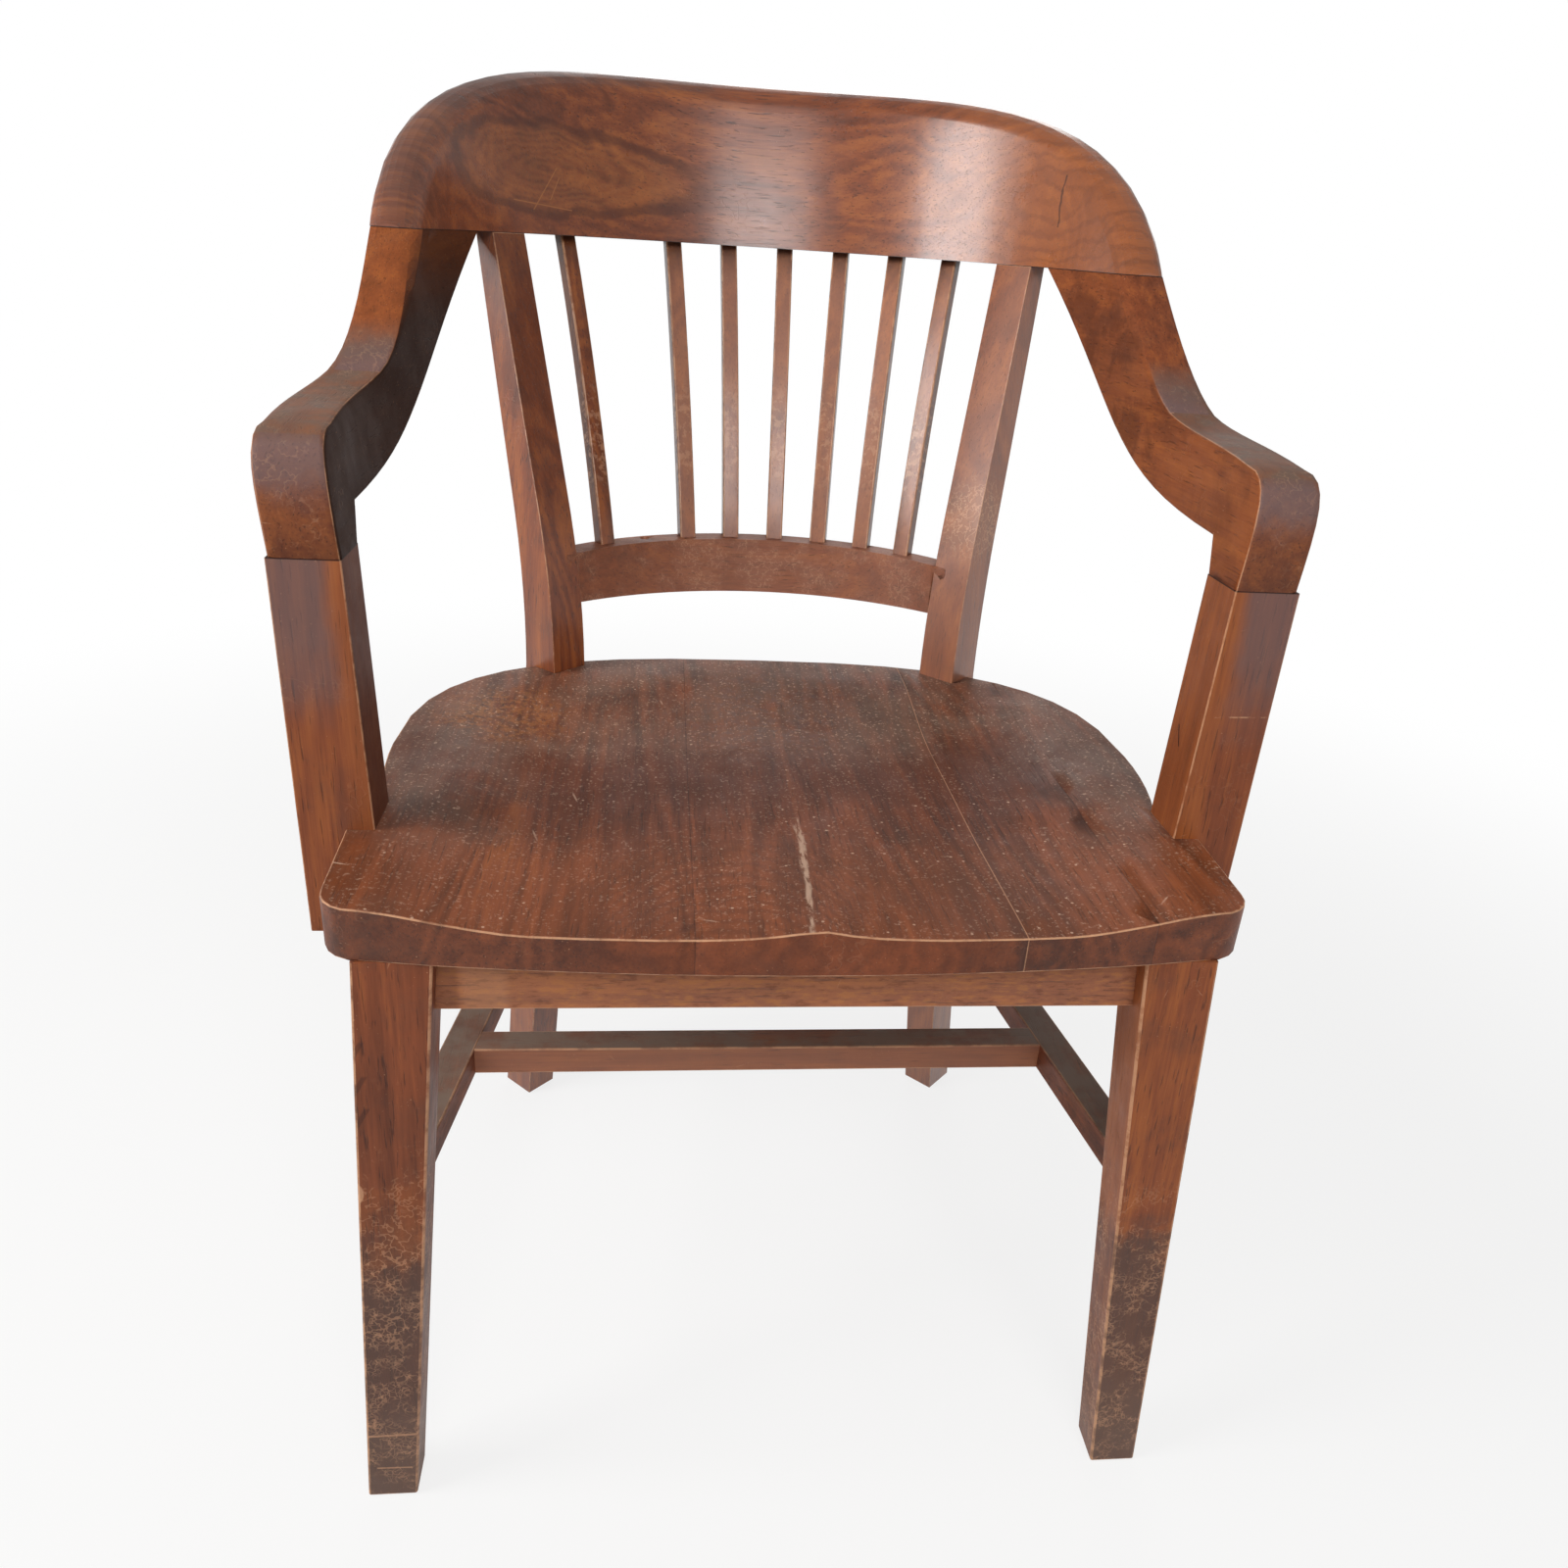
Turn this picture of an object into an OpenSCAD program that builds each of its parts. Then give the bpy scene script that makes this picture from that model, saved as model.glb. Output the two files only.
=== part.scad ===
// Bankers chair: a four-legged wooden office armchair with a saddle seat,
// a horseshoe crest rail and sawn arms. Millimetres, +Z up, front towards -Y.
// The chair is drawn with y = 0 at the front of the seat and set back to the
// middle of its own depth at the end.

/* [Seat] */
// Height of the seat rim above the floor
seat_z = 445; // [410:1:480]
// Thickness of the seat boards at the rim
seat_t = 32; // [26:1:40]
// Width of the seat behind the arm posts
seat_w = 529; // [500:1:560]
// Depth of the seat on its centre line
seat_d = 437; // [425:1:465]
// Width across the front ears of the seat
ear_w = 531; // [515:1:560]
// How far the front edge bows forward
front_bow = 15; // [5:1:25]
// Radius of the two front corners in plan
ear_r = 22; // [10:1:35]
// Depth of the saddle at the sitting hollows
saddle_depth = 14; // [6:1:18]
// Depth of the saddle where it runs out at the front edge
saddle_front = 10; // [4:1:14]
// Height of the pommel ridge at the front edge
pommel_h = 8; // [0:1:10]
// Glue line between the first and second board
glue_line_1 = -60; // [-120:1:-30]
// Glue line between the second and third board
glue_line_2 = 125; // [90:1:150]
// Glue line between the third and fourth board
glue_line_3 = 202; // [175:1:225]

/* [Front legs] */
// Width of a front leg under the seat
leg_w = 44; // [36:1:52]
// Depth of a front leg under the seat
leg_d = 38; // [32:1:46]
// Width of a front leg at the floor
foot_w = 32; // [24:1:40]
// Depth of a front leg at the floor
foot_d = 28; // [22:1:36]
// Outer face of a front leg under the seat, from the centre line
leg_x = 245; // [235:1:250]
// How far each foot is splayed outward
leg_splay = 21; // [0:1:35]
// How far each foot is splayed forward
leg_rake = 15; // [0:1:25]

/* [Back posts] */
// Front arris of a back post at the seat, from the centre line
post_x = 166; // [158:1:174]
// Front arris of a back post at the seat, behind the front of the seat
post_y = 390; // [380:1:396]
// Width of the front face of a back post at the seat
post_w = 33; // [26:1:36]
// Depth of a back post at the seat
post_d = 36; // [32:1:42]
// Depth of a back post under the crest rail
post_top_d = 18; // [16:1:26]
// Width of the front face of a rear foot
rear_foot_w = 30; // [24:1:34]
// Depth of a rear foot
rear_foot_d = 34; // [26:1:38]
// How far each rear foot is splayed outward
rear_splay = 35; // [10:1:45]
// How far each rear foot is raked back
rear_rake = 18; // [0:1:40]

/* [Crest rail] */
// Height of the joint under the crest rail
joint_z = 770; // [740:1:800]
// Radius of the hollow face of the crest rail
crest_r = 252; // [246:1:258]
// Centre of the crest rail bend, behind the front of the seat
crest_y = 352; // [346:1:360]
// Thickness of the crest rail
crest_t = 33.5; // [30:0.5:38]
// Height of the crest rail at the middle of the back
crest_h = 127; // [95:1:140]
// Half angle that the crest rail sweeps round the sitter
crest_sweep = 85.5; // [83:0.5:87]

/* [Lower rail and spindles] */
// Height of the top edge of the lower back rail
rail_z = 536; // [520:1:560]
// Height of the lower back rail
rail_h = 39; // [30:1:50]
// Thickness of the lower back rail
rail_t = 22; // [20:1:28]
// Radius of the hollow face of the lower back rail at its top edge
rail_r = 193; // [186:1:200]
// Radius of the same face at its bottom edge
rail_low_r = 240; // [220:1:260]
// Width of a spindle
spindle_w = 14; // [10:1:18]
// Thickness of a spindle
spindle_t = 11; // [9:1:13]
// Angle between one spindle and the next
spindle_step = 10.9; // [10:0.1:11.5]
// Diameter of the round tenon on each end of a spindle
tenon_d = 8; // [6:0.5:8.5]
// Length of that tenon
tenon_len = 14; // [8:1:18]

/* [Arms] */
// Thickness of an arm at its front
arm_t = 40; // [34:1:44]
// Height of the flat top of the arm
arm_z = 676; // [660:1:690]
// Height of the front block of the arm, above the joint with the arm post
arm_block_h = 68; // [55:1:80]
// Front face of the arm post, behind the front of the seat
arm_y = 108; // [100:1:116]
// Depth of the arm post from front to back
arm_post_d = 40; // [34:1:46]
// Inner face of the arm post at its top, from the centre line
arm_x = 253; // [248:1:258]
// Width of the arm post at the seat
arm_post_w = 44; // [42:1:50]
// How far the arm post is let into the side of the seat
arm_housing = 17; // [10:1:20]

/* [Seat frame] */
// Height of the four aprons under the seat
apron_h = 39; // [30:1:60]
// Thickness of the aprons
apron_t = 20; // [16:1:24]
// How far the front apron is set back from the front legs
apron_inset = 12; // [4:1:14]
// Width of a corner block along the apron
block_w = 70; // [55:1:90]
// Height of a corner block
block_h = 28; // [20:1:30]

/* [Stretchers] */
// Height of the top of the stretchers above the floor
stretcher_z = 240; // [180:1:300]
// Height of a stretcher's section
stretcher_h = 21; // [16:1:30]
// Width of a side stretcher
stretcher_w = 24; // [18:1:28]
// Width of the cross stretcher
cross_w = 22; // [16:1:28]
// Front face of the cross stretcher, behind the front of the seat
cross_y = 164; // [120:1:220]
// Length of the tenons on the stretchers
stretcher_tenon = 14; // [8:1:16]

/* [Fastenings] */
// Diameter of the joint dowels
dowel_d = 9.5; // [8:0.5:10]
// Length of the joint dowels
dowel_len = 32; // [24:1:34]
// Diameter of the screw shanks
screw_d = 4.5; // [3.5:0.5:5.5]
// Length of the screws that hold the corner blocks and the arm posts
screw_len = 32; // [28:1:34]
// Clearance round dowels, tenons and screws
fit = 0.15; // [0.05:0.05:0.25]
// Spare depth at the end of a bore or mortise
bore_relief = 1; // [0.5:0.5:2]

/* [Hidden] */
$fn = 32;
spindle_places = 8;
lost_spindle = 2;      // the place, counted from the left, that stands empty
kept_spindles = [for (i = [1:spindle_places]) if (i != lost_spindle) i];
sides = ["left", "right"];

wood = "#7a4026";
wood_dark = "#5b3222";
wood_bare = "#b88a5c";
steel = "#8c8f93";

eps = 0.01;
seat_under = seat_z - seat_t;
apron_low = seat_under - apron_h;
block_low = seat_under - block_h;
rail_low = rail_z - rail_h;

arm_joint_z = arm_z - arm_block_h;

// Lean of the crest rail per millimetre of height: its radius and its centre
crest_flare = 0.132;
crest_lean = 0.148;
// The rolled top: how far the front and the back round come down, and the front's share of the width
crest_front_round = 22;
crest_back_round = 14;
crest_front_share = 0.55;
crest_end_h = 2;       // height of the crest rail at its two ends
crest_fall = 3.66;     // how long the top stays level before it falls to the ends
crest_fullness = 0.944;

// General geometry
function lerp(a, b, t) = a + (b - a) * t;
function clamp(v) = min(1, max(0, v));
function smooth(v) = let (c = clamp(v)) c * c * (3 - 2 * c);
function unit(v) = v / norm(v);
function bezier(p, t) =
    pow(1 - t, 3) * p[0] + 3 * t * pow(1 - t, 2) * p[1] + 3 * t * t * (1 - t) * p[2] + t * t * t * p[3];
function polar(r, a) = [r * sin(a), r * cos(a)];
function at_z(p, z) = [p[0], p[1], z];
function total(v) = v * [for (x = v) 1];

// A solid through a row of loops that have the same number of points
module skin(loops) {
    n = len(loops[0]);
    last = len(loops) - 1;
    points = [for (l = loops) for (p = l) p];
    walls = [for (i = [0:last - 1], j = [0:n - 1])
        let (a = i * n + j, b = i * n + (j + 1) % n) each [[a, b, b + n], [a, b + n, a + n]]];
    lid = [for (j = [0:floor((n - 3) / 2)]) let (k = n - 1 - j)
        each concat([[j, j + 1, k]], j + 1 < k - 1 ? [[j + 1, k - 1, k]] : [])];
    start = [for (f = lid) [f[0], f[2], f[1]]];
    end = [for (f = lid) [for (v = f) v + last * n]];
    faces = concat(walls, start, end);
    turned_out = total([for (f = faces) points[f[0]] * cross(points[f[1]], points[f[2]])]) < 0;
    polyhedron(points = points, faces = turned_out ? faces : [for (f = faces) [f[0], f[2], f[1]]]);
}

// Stands a child that is drawn up the Z axis at a point, along a direction
module stand(p, dir) {
    d = unit(dir);
    translate(p) rotate([0, acos(d[2]), atan2(d[1], d[0])]) rotate(45) children();
}

module dowel(p, dir) {
    color(wood_bare) stand(p, dir) translate([0, 0, -dowel_len / 2]) cylinder(h = dowel_len, d = dowel_d);
}

module dowel_bore(p, dir) {
    stand(p, dir) translate([0, 0, -dowel_len / 2 - bore_relief])
        cylinder(h = dowel_len + 2 * bore_relief, d = dowel_d + 2 * fit);
}

// A countersunk screw, its head level with the point and its shank along the direction
head_d = 2 * screw_d;
head_h = screw_d / 2;
head_rim = 0.4;
module screw_form(len, grow, above) {
    r = screw_d / 2 + grow;
    rim = head_d / 2 + grow;
    rotate_extrude() polygon([[0, -above], [rim, -above], [rim, 0], [r, head_h], [r, len], [0, len]]);
}

module screw(p, dir, len = screw_len) {
    color(steel) stand(p, dir) screw_form(len, 0, head_rim);
}

module screw_bore(p, dir, len = screw_len) {
    stand(p, dir) screw_form(len + bore_relief, fit, head_d);
}

module on_side(side) {
    if (side == "left") mirror([1, 0, 0]) children();
    else children();
}

module both_sides() {
    children();
    mirror([1, 0, 0]) children();
}

// Seat outline: bowed front, round ears, a housing for each arm post, round back
ear_x = ear_w / 2;
seat_x = seat_w / 2;
seat_mid_y = 240;      // where the seat is widest
swell = 13;            // how far the side swells out behind the arm post
housing_x = ear_x - arm_housing;
arm_back_y = arm_y + arm_post_d;
back_power = 2.8;
ear_set = [3, 1];      // how far each front corner is drawn in from the side and the bowed front
ear_c = [ear_x - ear_set[0] - ear_r, front_bow + ear_set[1] + ear_r];
back_d = seat_d - seat_mid_y;
function side_x(y) = y <= arm_back_y ? ear_x
    : y < seat_mid_y ? seat_x - swell * pow((seat_mid_y - y) / (seat_mid_y - arm_back_y), 2)
    : seat_x * pow(1 - pow(min(1, (y - seat_mid_y) / back_d), back_power), 1 / back_power);
seat_half = concat(
    [for (i = [0:5]) let (x = ear_c[0] * i / 6) [x, front_bow * pow(x / ear_c[0], 2)]],
    [for (a = [0:18:90]) ear_c + ear_r * [sin(a), -cos(a)]],
    [[ear_x, arm_y - fit], [housing_x, arm_y - fit], [housing_x, arm_back_y + fit]],
    [for (i = [0:5]) let (y = lerp(arm_back_y + fit, seat_mid_y, i / 5)) [side_x(y), y]],
    [for (a = [9:9:81])
        [seat_x * pow(cos(a), 2 / back_power), seat_mid_y + back_d * pow(sin(a), 2 / back_power)]]);
seat_outline = concat(seat_half, [[0, seat_d]],
    [for (i = [len(seat_half) - 1:-1:1]) [-seat_half[i][0], seat_half[i][1]]]);

// Depth of the saddle below the rim
rim = 20;
side_fade = 100;       // how far the hollow takes to run out at the sides
back_fade = 130;       // the same at the back
back_arch = 30 / pow(200, 2);
front_fade = 150;      // from the front edge to the full depth
pommel_x = 7;
pommel_w = 30;
pommel_len = 170;
function saddle(x, y) =
    let (across = smooth((side_x(y) - rim - abs(x)) / side_fade),
         along = smooth((seat_d - rim - y - back_arch * x * x) / back_fade),
         depth = lerp(saddle_front, saddle_depth, smooth(y / front_fade)),
         ridge = pommel_h * (1 - smooth(y / pommel_len)) * exp(-abs(x - pommel_x) / pommel_w))
    max(0, depth * across * along - ridge * across);

// The board blank: flat below, hollowed above
board_x = [-ear_x - 1, glue_line_1, glue_line_2, glue_line_3, ear_x + 1];
column_w = 15;
blank_over = 3;
module saddled_blank(x0, x1) {
    columns = ceil((x1 - x0) / column_w);
    rows = 27;
    function row_y(j) = lerp(-blank_over, seat_d + blank_over, j / rows);
    loops = [for (i = [0:columns]) let (x = lerp(x0, x1, i / columns)) concat(
        [for (j = [0:rows]) let (y = row_y(j)) [x, y, seat_z - saddle(x, y)]],
        [for (j = [rows:-1:0]) [x, row_y(j), seat_under]])];
    skin(loops);
}

module seat_board(i) {
    color(wood_dark) difference() {
        intersection() {
            saddled_blank(board_x[i - 1], board_x[i]);
            translate([0, 0, seat_under - 1]) linear_extrude(seat_t + 2) polygon(seat_outline);
        }
        both_sides() {
            post_notch();
            seat_screws_at() screw_bore([0, 0, 0], [0, 0, 1], seat_screw_len);
        }
    }
}

// Front leg: tapered and splayed, its top under the seat
leg_front_y = 14;
function leg_loop(z) =
    let (t = 1 - z / seat_under,
         xo = leg_x + leg_splay * t, y0 = leg_front_y - leg_rake * t,
         w = lerp(leg_w, foot_w, t), d = lerp(leg_d, foot_d, t))
    [[xo - w, y0, z], [xo, y0, z], [xo, y0 + d, z], [xo - w, y0 + d, z]];

module front_leg_body() { skin([leg_loop(0), leg_loop(seat_under)]); }

module front_leg() {
    color(wood) difference() {
        front_leg_body();
        front_apron_dowels_at() dowel_bore([0, 0, 0], [1, 0, 0]);
        side_apron_dowels_at() dowel_bore([0, 0, 0], side_dir);
        stretcher_tenons(fit);
    }
}

// Back post: rear leg and stile in one piece, curved above the seat
post_turn = 45;
rear_foot_turn = 45;
stile_turn = 54;
stile_angle = 58;
stile_w = 36;
curved_share = 0.4;    // the share of the stile, above the seat, that is curved
function post_section(a, turn, w, d) =
    let (along = [cos(turn), -sin(turn)], back = [sin(turn), cos(turn)])
    [a - w * along, a, a + d * back, a - w * along + d * back];
function stile_path(u) =
    let (k = 1 / (2 * curved_share - curved_share * curved_share))
    u < curved_share ? k * u * u : k * (2 * curved_share * u - curved_share * curved_share);
seat_arris = [post_x, post_y];
foot_arris = seat_arris + [rear_splay, rear_rake];
stile_arris = [0, crest_y] + polar(crest_r, stile_angle);
function post_loop(z) =
    z <= seat_z
    ? let (t = 1 - z / seat_z)
        [for (p = post_section(lerp(seat_arris, foot_arris, t), lerp(post_turn, rear_foot_turn, t),
            lerp(post_w, rear_foot_w, t), lerp(post_d, rear_foot_d, t))) at_z(p, z)]
    : let (u = (z - seat_z) / (joint_z - seat_z), g = stile_path(u))
        [for (p = post_section(lerp(seat_arris, stile_arris, g), lerp(post_turn, stile_turn, u),
            lerp(post_w, stile_w, u), lerp(post_d, post_top_d, u))) at_z(p, z)];

// The floor, the seat rim, and equal steps from there up to the crest rail
stile_steps = 16;
post_levels = concat([0], [for (i = [0:stile_steps]) lerp(seat_z, joint_z, i / stile_steps)]);
module back_post_body(from = 0, to = stile_steps + 1) {
    skin([for (i = [from:to]) post_loop(post_levels[i])]);
}

// The part of the post that stands below the rim of the seat
module rear_leg_body() { back_post_body(0, 1); }

// The space the post takes up in the seat, with clearance all round
module post_notch() {
    skin([for (z = [seat_under - 1, seat_z + 1])
        let (l = post_loop(min(z, seat_z)), c = (l[0] + l[2]) / 2)
        [for (p = l) at_z(p + sqrt(2) * fit * unit([p[0] - c[0], p[1] - c[1], 0]), z)]]);
}

module back_post() {
    color(wood) difference() {
        back_post_body();
        back_post_dowels_at() dowel_bore([0, 0, 0], stile_dir);
        rail_dowels_at() dowel_bore([0, 0, 0], rail_dir);
        rear_apron_dowels_at() dowel_bore([0, 0, 0], [1, 0, 0]);
        side_apron_rear_dowel_at() dowel_bore([0, 0, 0], side_dir);
        stretcher_tenons(fit);
    }
}

// Crest rail: a horseshoe whose hollow face leans back and whose top is rolled over
function crest_height(a) = crest_end_h + (crest_h - crest_end_h)
    * pow(1 - pow(abs(a) / crest_sweep, crest_fall), crest_fullness);
function crest_point(a, r, h) = at_z([0, crest_y + crest_lean * h]
    + polar(crest_r + crest_flare * h + r, a), joint_z + h);
crest_sink = crest_front_round + 2;    // drawn on below the joint, where it is cut level
function crest_loop(a) =
    let (h = crest_height(a), fw = crest_front_share * crest_t, bw = crest_t - fw)
    concat(
        [crest_point(a, crest_t, -crest_sink), crest_point(a, 0, -crest_sink)],
        [for (q = [0:18:90]) crest_point(a, fw * (1 - cos(q)), h - crest_front_round * (1 - sin(q)))],
        [for (q = [72:-18:0])
            crest_point(a, crest_t - bw * (1 - cos(q)), h - crest_back_round * (1 - sin(q)))]);
crest_tip = [0.2, 1, 2.5, 5, 9, 14];
crest_main = crest_sweep - 5;
crest_steps = 38;
crest_angles = concat([for (s = crest_tip) -crest_sweep + s * 180 / PI / crest_r],
    [for (i = [0:crest_steps]) lerp(-crest_main, crest_main, i / crest_steps)],
    [for (i = [len(crest_tip) - 1:-1:0]) crest_sweep - crest_tip[i] * 180 / PI / crest_r]);

module crest_rail() {
    color(wood) difference() {
        skin([for (a = crest_angles) crest_loop(a)]);
        translate([-seat_w, 0, joint_z - 2 * crest_sink]) cube([2 * seat_w, 2 * seat_d, 2 * crest_sink]);
        both_sides() {
            crest_dowels_at() dowel_bore([0, 0, 0], [0, 0, 1]);
            back_post_dowels_at() dowel_bore([0, 0, 0], stile_dir);
        }
        for (i = [1:spindle_places]) spindle_tenons(i, fit);
    }
}

// Lower back rail: a hollow board between the back posts
rail_set = 48.5;       // how far its bend is centred in front of that of the crest rail
rail_lean = 0.7;       // how far its face leans forward per millimetre down
rail_reach = 58;       // half angle over which it is drawn, before it is cut to the posts
rail_y = crest_y - rail_set;
rail_low_y = rail_y + rail_r - rail_lean * rail_h - rail_low_r;
function rail_point(a, r, z) =
    let (t = (rail_z - z) / rail_h, x = (rail_r + r) * sin(a), rr = lerp(rail_r, rail_low_r, t) + r)
    [x, lerp(rail_y, rail_low_y, t) + sqrt(rr * rr - x * x), z];
module rail_body() {
    steps = 26;
    skin([for (i = [0:steps]) let (a = lerp(-rail_reach, rail_reach, i / steps))
        [rail_point(a, rail_t, rail_low), rail_point(a, 0, rail_low), rail_point(a, 0, rail_z),
         rail_point(a, rail_t, rail_z)]]);
}

module lower_back_rail() {
    color(wood) difference() {
        intersection() {
            rail_body();
            both_sides() rail_half();
        }
        both_sides() {
            back_post_body(2, 6);          // the levels of the post beside the rail
            rail_dowels_at() dowel_bore([0, 0, 0], rail_dir);
        }
        for (i = [1:spindle_places]) spindle_tenons(i, fit);
    }
}

// The space between the back posts, up to the middle of the right-hand post
half_front = 80;
half_back = 200;
into_post = 8;
module rail_half() {
    skin([for (z = [rail_low - 1, rail_z + 1]) let (l = post_loop(z), x = l[3][0] + into_post)
        [[-eps, l[0][1] - half_front, z], [l[0][0] + into_post, l[0][1] - into_post, z],
         [x, l[3][1] - into_post, z], [x, l[3][1] + half_back, z], [-eps, l[3][1] + half_back, z]]]);
}

// Spindles: flat slats that fan out from the lower rail to the crest rail
spindle_inset = 9;     // from the hollow face of either rail
spindle_bow = 0.3;
function spindle_angle(i) = (i - (spindle_places + 1) / 2) * spindle_step;
function spindle_end(y, r, i) = [0, y] + polar(r + spindle_inset + spindle_t / 2, spindle_angle(i));
function spindle_foot(i) = at_z(spindle_end(rail_y, rail_r, i), rail_z);
function spindle_head(i) = at_z(spindle_end(crest_y, crest_r, i), joint_z);
function spindle_at(i, u) =
    let (g = u - spindle_bow * u * (1 - u), p = lerp(spindle_foot(i), spindle_head(i), g))
    at_z(p, lerp(rail_z, joint_z, u));
function spindle_slope(i, u) = unit(spindle_at(i, u + eps) - spindle_at(i, u - eps));
module spindle_body(i) {
    a = spindle_angle(i);
    along = [cos(a), -sin(a), 0] * spindle_w / 2;
    back = [sin(a), cos(a), 0] * spindle_t / 2;
    steps = 8;
    skin([for (k = [0:steps]) let (p = spindle_at(i, k / steps))
        [p - along - back, p + along - back, p + along + back, p - along + back]]);
}

tenon_root = 2;        // how far a round tenon starts inside the end of its spindle
module spindle_tenon(grow) {
    len = tenon_len + tenon_root + (grow > 0 ? bore_relief : 0);
    translate([0, 0, -tenon_root]) cylinder(h = len, d = tenon_d + 2 * grow);
}

module spindle_tenons(i, grow = 0) {
    stand(spindle_foot(i), -spindle_slope(i, 0)) spindle_tenon(grow);
    stand(spindle_head(i), spindle_slope(i, 1)) spindle_tenon(grow);
}

module spindle(i) {
    color(wood) {
        spindle_body(i);
        spindle_tenons(i);
    }
}

// Arm: lofted between an upper and a lower edge, both drawn for the right-hand arm
crest_in = [0, crest_y] + polar(crest_r, crest_sweep);
wing_angle = 62;
wing_in = [0, crest_y] + polar(crest_r, wing_angle);
arm_lean = 5.5;        // how far the top of the front block leans outward
arm_corner = [30, 24];  // how far back and down the front corner of the arm is rounded
arm_start = [arm_x, arm_y, arm_z];
elbow_set = [4.5, 153, 12.5];          // from the front of the flat top to the elbow
flat_set_1 = [12, 91, 5];              // the two points that the flat top is drawn towards on the way
flat_set_2 = [13.5, 138, 3];
elbow = arm_start + elbow_set;
arm_front = [[arm_x, arm_y, arm_joint_z], [arm_x + 0.6 * arm_lean, arm_y, arm_z - arm_corner[1]],
    [arm_x + arm_lean, arm_y, arm_z], [arm_x + arm_lean, arm_y + arm_corner[0], arm_z]];
arm_flat = [arm_front[3], arm_start + flat_set_1, arm_start + flat_set_2, elbow];
neck_set_1 = [-15, 6, 15];             // from the elbow, on the way up to the crest rail
neck_set_2 = [-1, -42, -31];           // from the end of the crest rail, on the way down
arm_neck = [elbow, elbow + neck_set_1, at_z(crest_in, joint_z) + neck_set_2, at_z(crest_in, joint_z)];
knee_set = [1, 7, 22];                 // from the back of the joint with the arm post to the knee
under_set_1 = [-2.5, 183, 6];
under_set_2 = [-7.5, 171, 50];
knee = [arm_x, arm_back_y, arm_joint_z] + knee_set;
arm_under = [knee, knee + under_set_1, knee + under_set_2, at_z(wing_in, joint_z)];
crest_cheek = 12;      // radii of the two corners of the arm that meet the rolled end of the crest rail
crest_nose = 7;
front_steps = 8;
flat_steps = 8;
neck_steps = 9;
arm_steps = front_steps + flat_steps + neck_steps;
arris_r = [3, 2, 2, 6]; // radii of the arm's arrises: inner top, inner low, outer low, outer top
round_mid = 1 - sqrt(0.5);
elbow_share = 0.45;    // how far along its lower edge the arm is, below the elbow
function upper_edge(k) =
    k <= front_steps ? bezier(arm_front, k / front_steps)
    : k <= front_steps + flat_steps ? bezier(arm_flat, (k - front_steps) / flat_steps)
    : bezier(arm_neck, (k - front_steps - flat_steps) / neck_steps);
function lower_edge(k) =
    k <= front_steps ? lerp([arm_x, arm_back_y, arm_joint_z], knee, pow(k / front_steps, 1.4))
    : k <= front_steps + flat_steps ? bezier(arm_under, elbow_share * (k - front_steps) / flat_steps)
    : bezier(arm_under, lerp(elbow_share, 1, (k - front_steps - flat_steps) / neck_steps));
function arm_loop(k) =
    let (u = k / arm_steps,
         neck = clamp((k - front_steps - flat_steps) / neck_steps),
         t = lerp(arm_t, crest_t, smooth(u)),
         top = upper_edge(k), low = lower_edge(k),
         out_top = t * at_z(polar(1, lerp(90, crest_sweep, neck)), 0),
         out_low = t * at_z(polar(1, lerp(90, wing_angle, neck)), 0),
         bulge = crest_r * (1 - cos((crest_sweep - wing_angle) / 2)) * pow(neck, 3)
             * at_z(polar(1, (crest_sweep + wing_angle) / 2), 0),
         corners = [top, low, low + out_low, top + out_top],
         r = [lerp(arris_r[0], crest_cheek, smooth(neck)), arris_r[1], arris_r[2],
             lerp(arris_r[3], crest_nose, smooth(2 * u))])
    [for (c = [0:3])
        let (p = corners[c], into = unit(corners[(c + 3) % 4] - p), out = unit(corners[(c + 1) % 4] - p),
             a = p + r[c] * into, b = p + r[c] * out, next = corners[(c + 1) % 4])
        each concat([a, p + r[c] * round_mid * (into + out), b],
            c % 2 == 0 ? [for (v = [0.3, 0.5, 0.7]) lerp(p, next, v) + 4 * v * (1 - v) * bulge] : [])];

module arm() {
    color(wood) difference() {
        skin([for (k = [0:arm_steps]) arm_loop(k)]);
        crest_dowels_at() dowel_bore([0, 0, 0], [0, 0, 1]);
        arm_dowels_at() dowel_bore([0, 0, 0], [0, 0, 1]);
    }
}

// Arm post: housed in the side of the seat, its foot lapped over the side apron
arm_out_x = arm_x + arm_t;
post_out_x = housing_x + arm_post_w;
module arm_post_body() {
    shaft = function (z) let (t = (arm_joint_z - z) / (arm_joint_z - seat_z),
        xi = lerp(arm_x, housing_x, t), xo = lerp(arm_out_x, post_out_x, t))
        [[xi, arm_y, z], [xo, arm_y, z], [xo, arm_back_y, z], [xi, arm_back_y, z]];
    skin([shaft(seat_z), shaft(arm_joint_z)]);
    translate([housing_x, arm_y, seat_under]) cube([arm_post_w, arm_post_d, seat_t]);
    translate([0, 0, apron_low]) linear_extrude(apron_h)
        polygon([[side_out_x(arm_y), arm_y], [post_out_x, arm_y], [post_out_x, arm_back_y],
            [side_out_x(arm_back_y), arm_back_y]]);
}

module arm_post() {
    color(wood) difference() {
        arm_post_body();
        arm_dowels_at() dowel_bore([0, 0, 0], [0, 0, 1]);
        arm_post_screws_at() screw_bore([0, 0, 0], side_out);
    }
}

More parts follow.
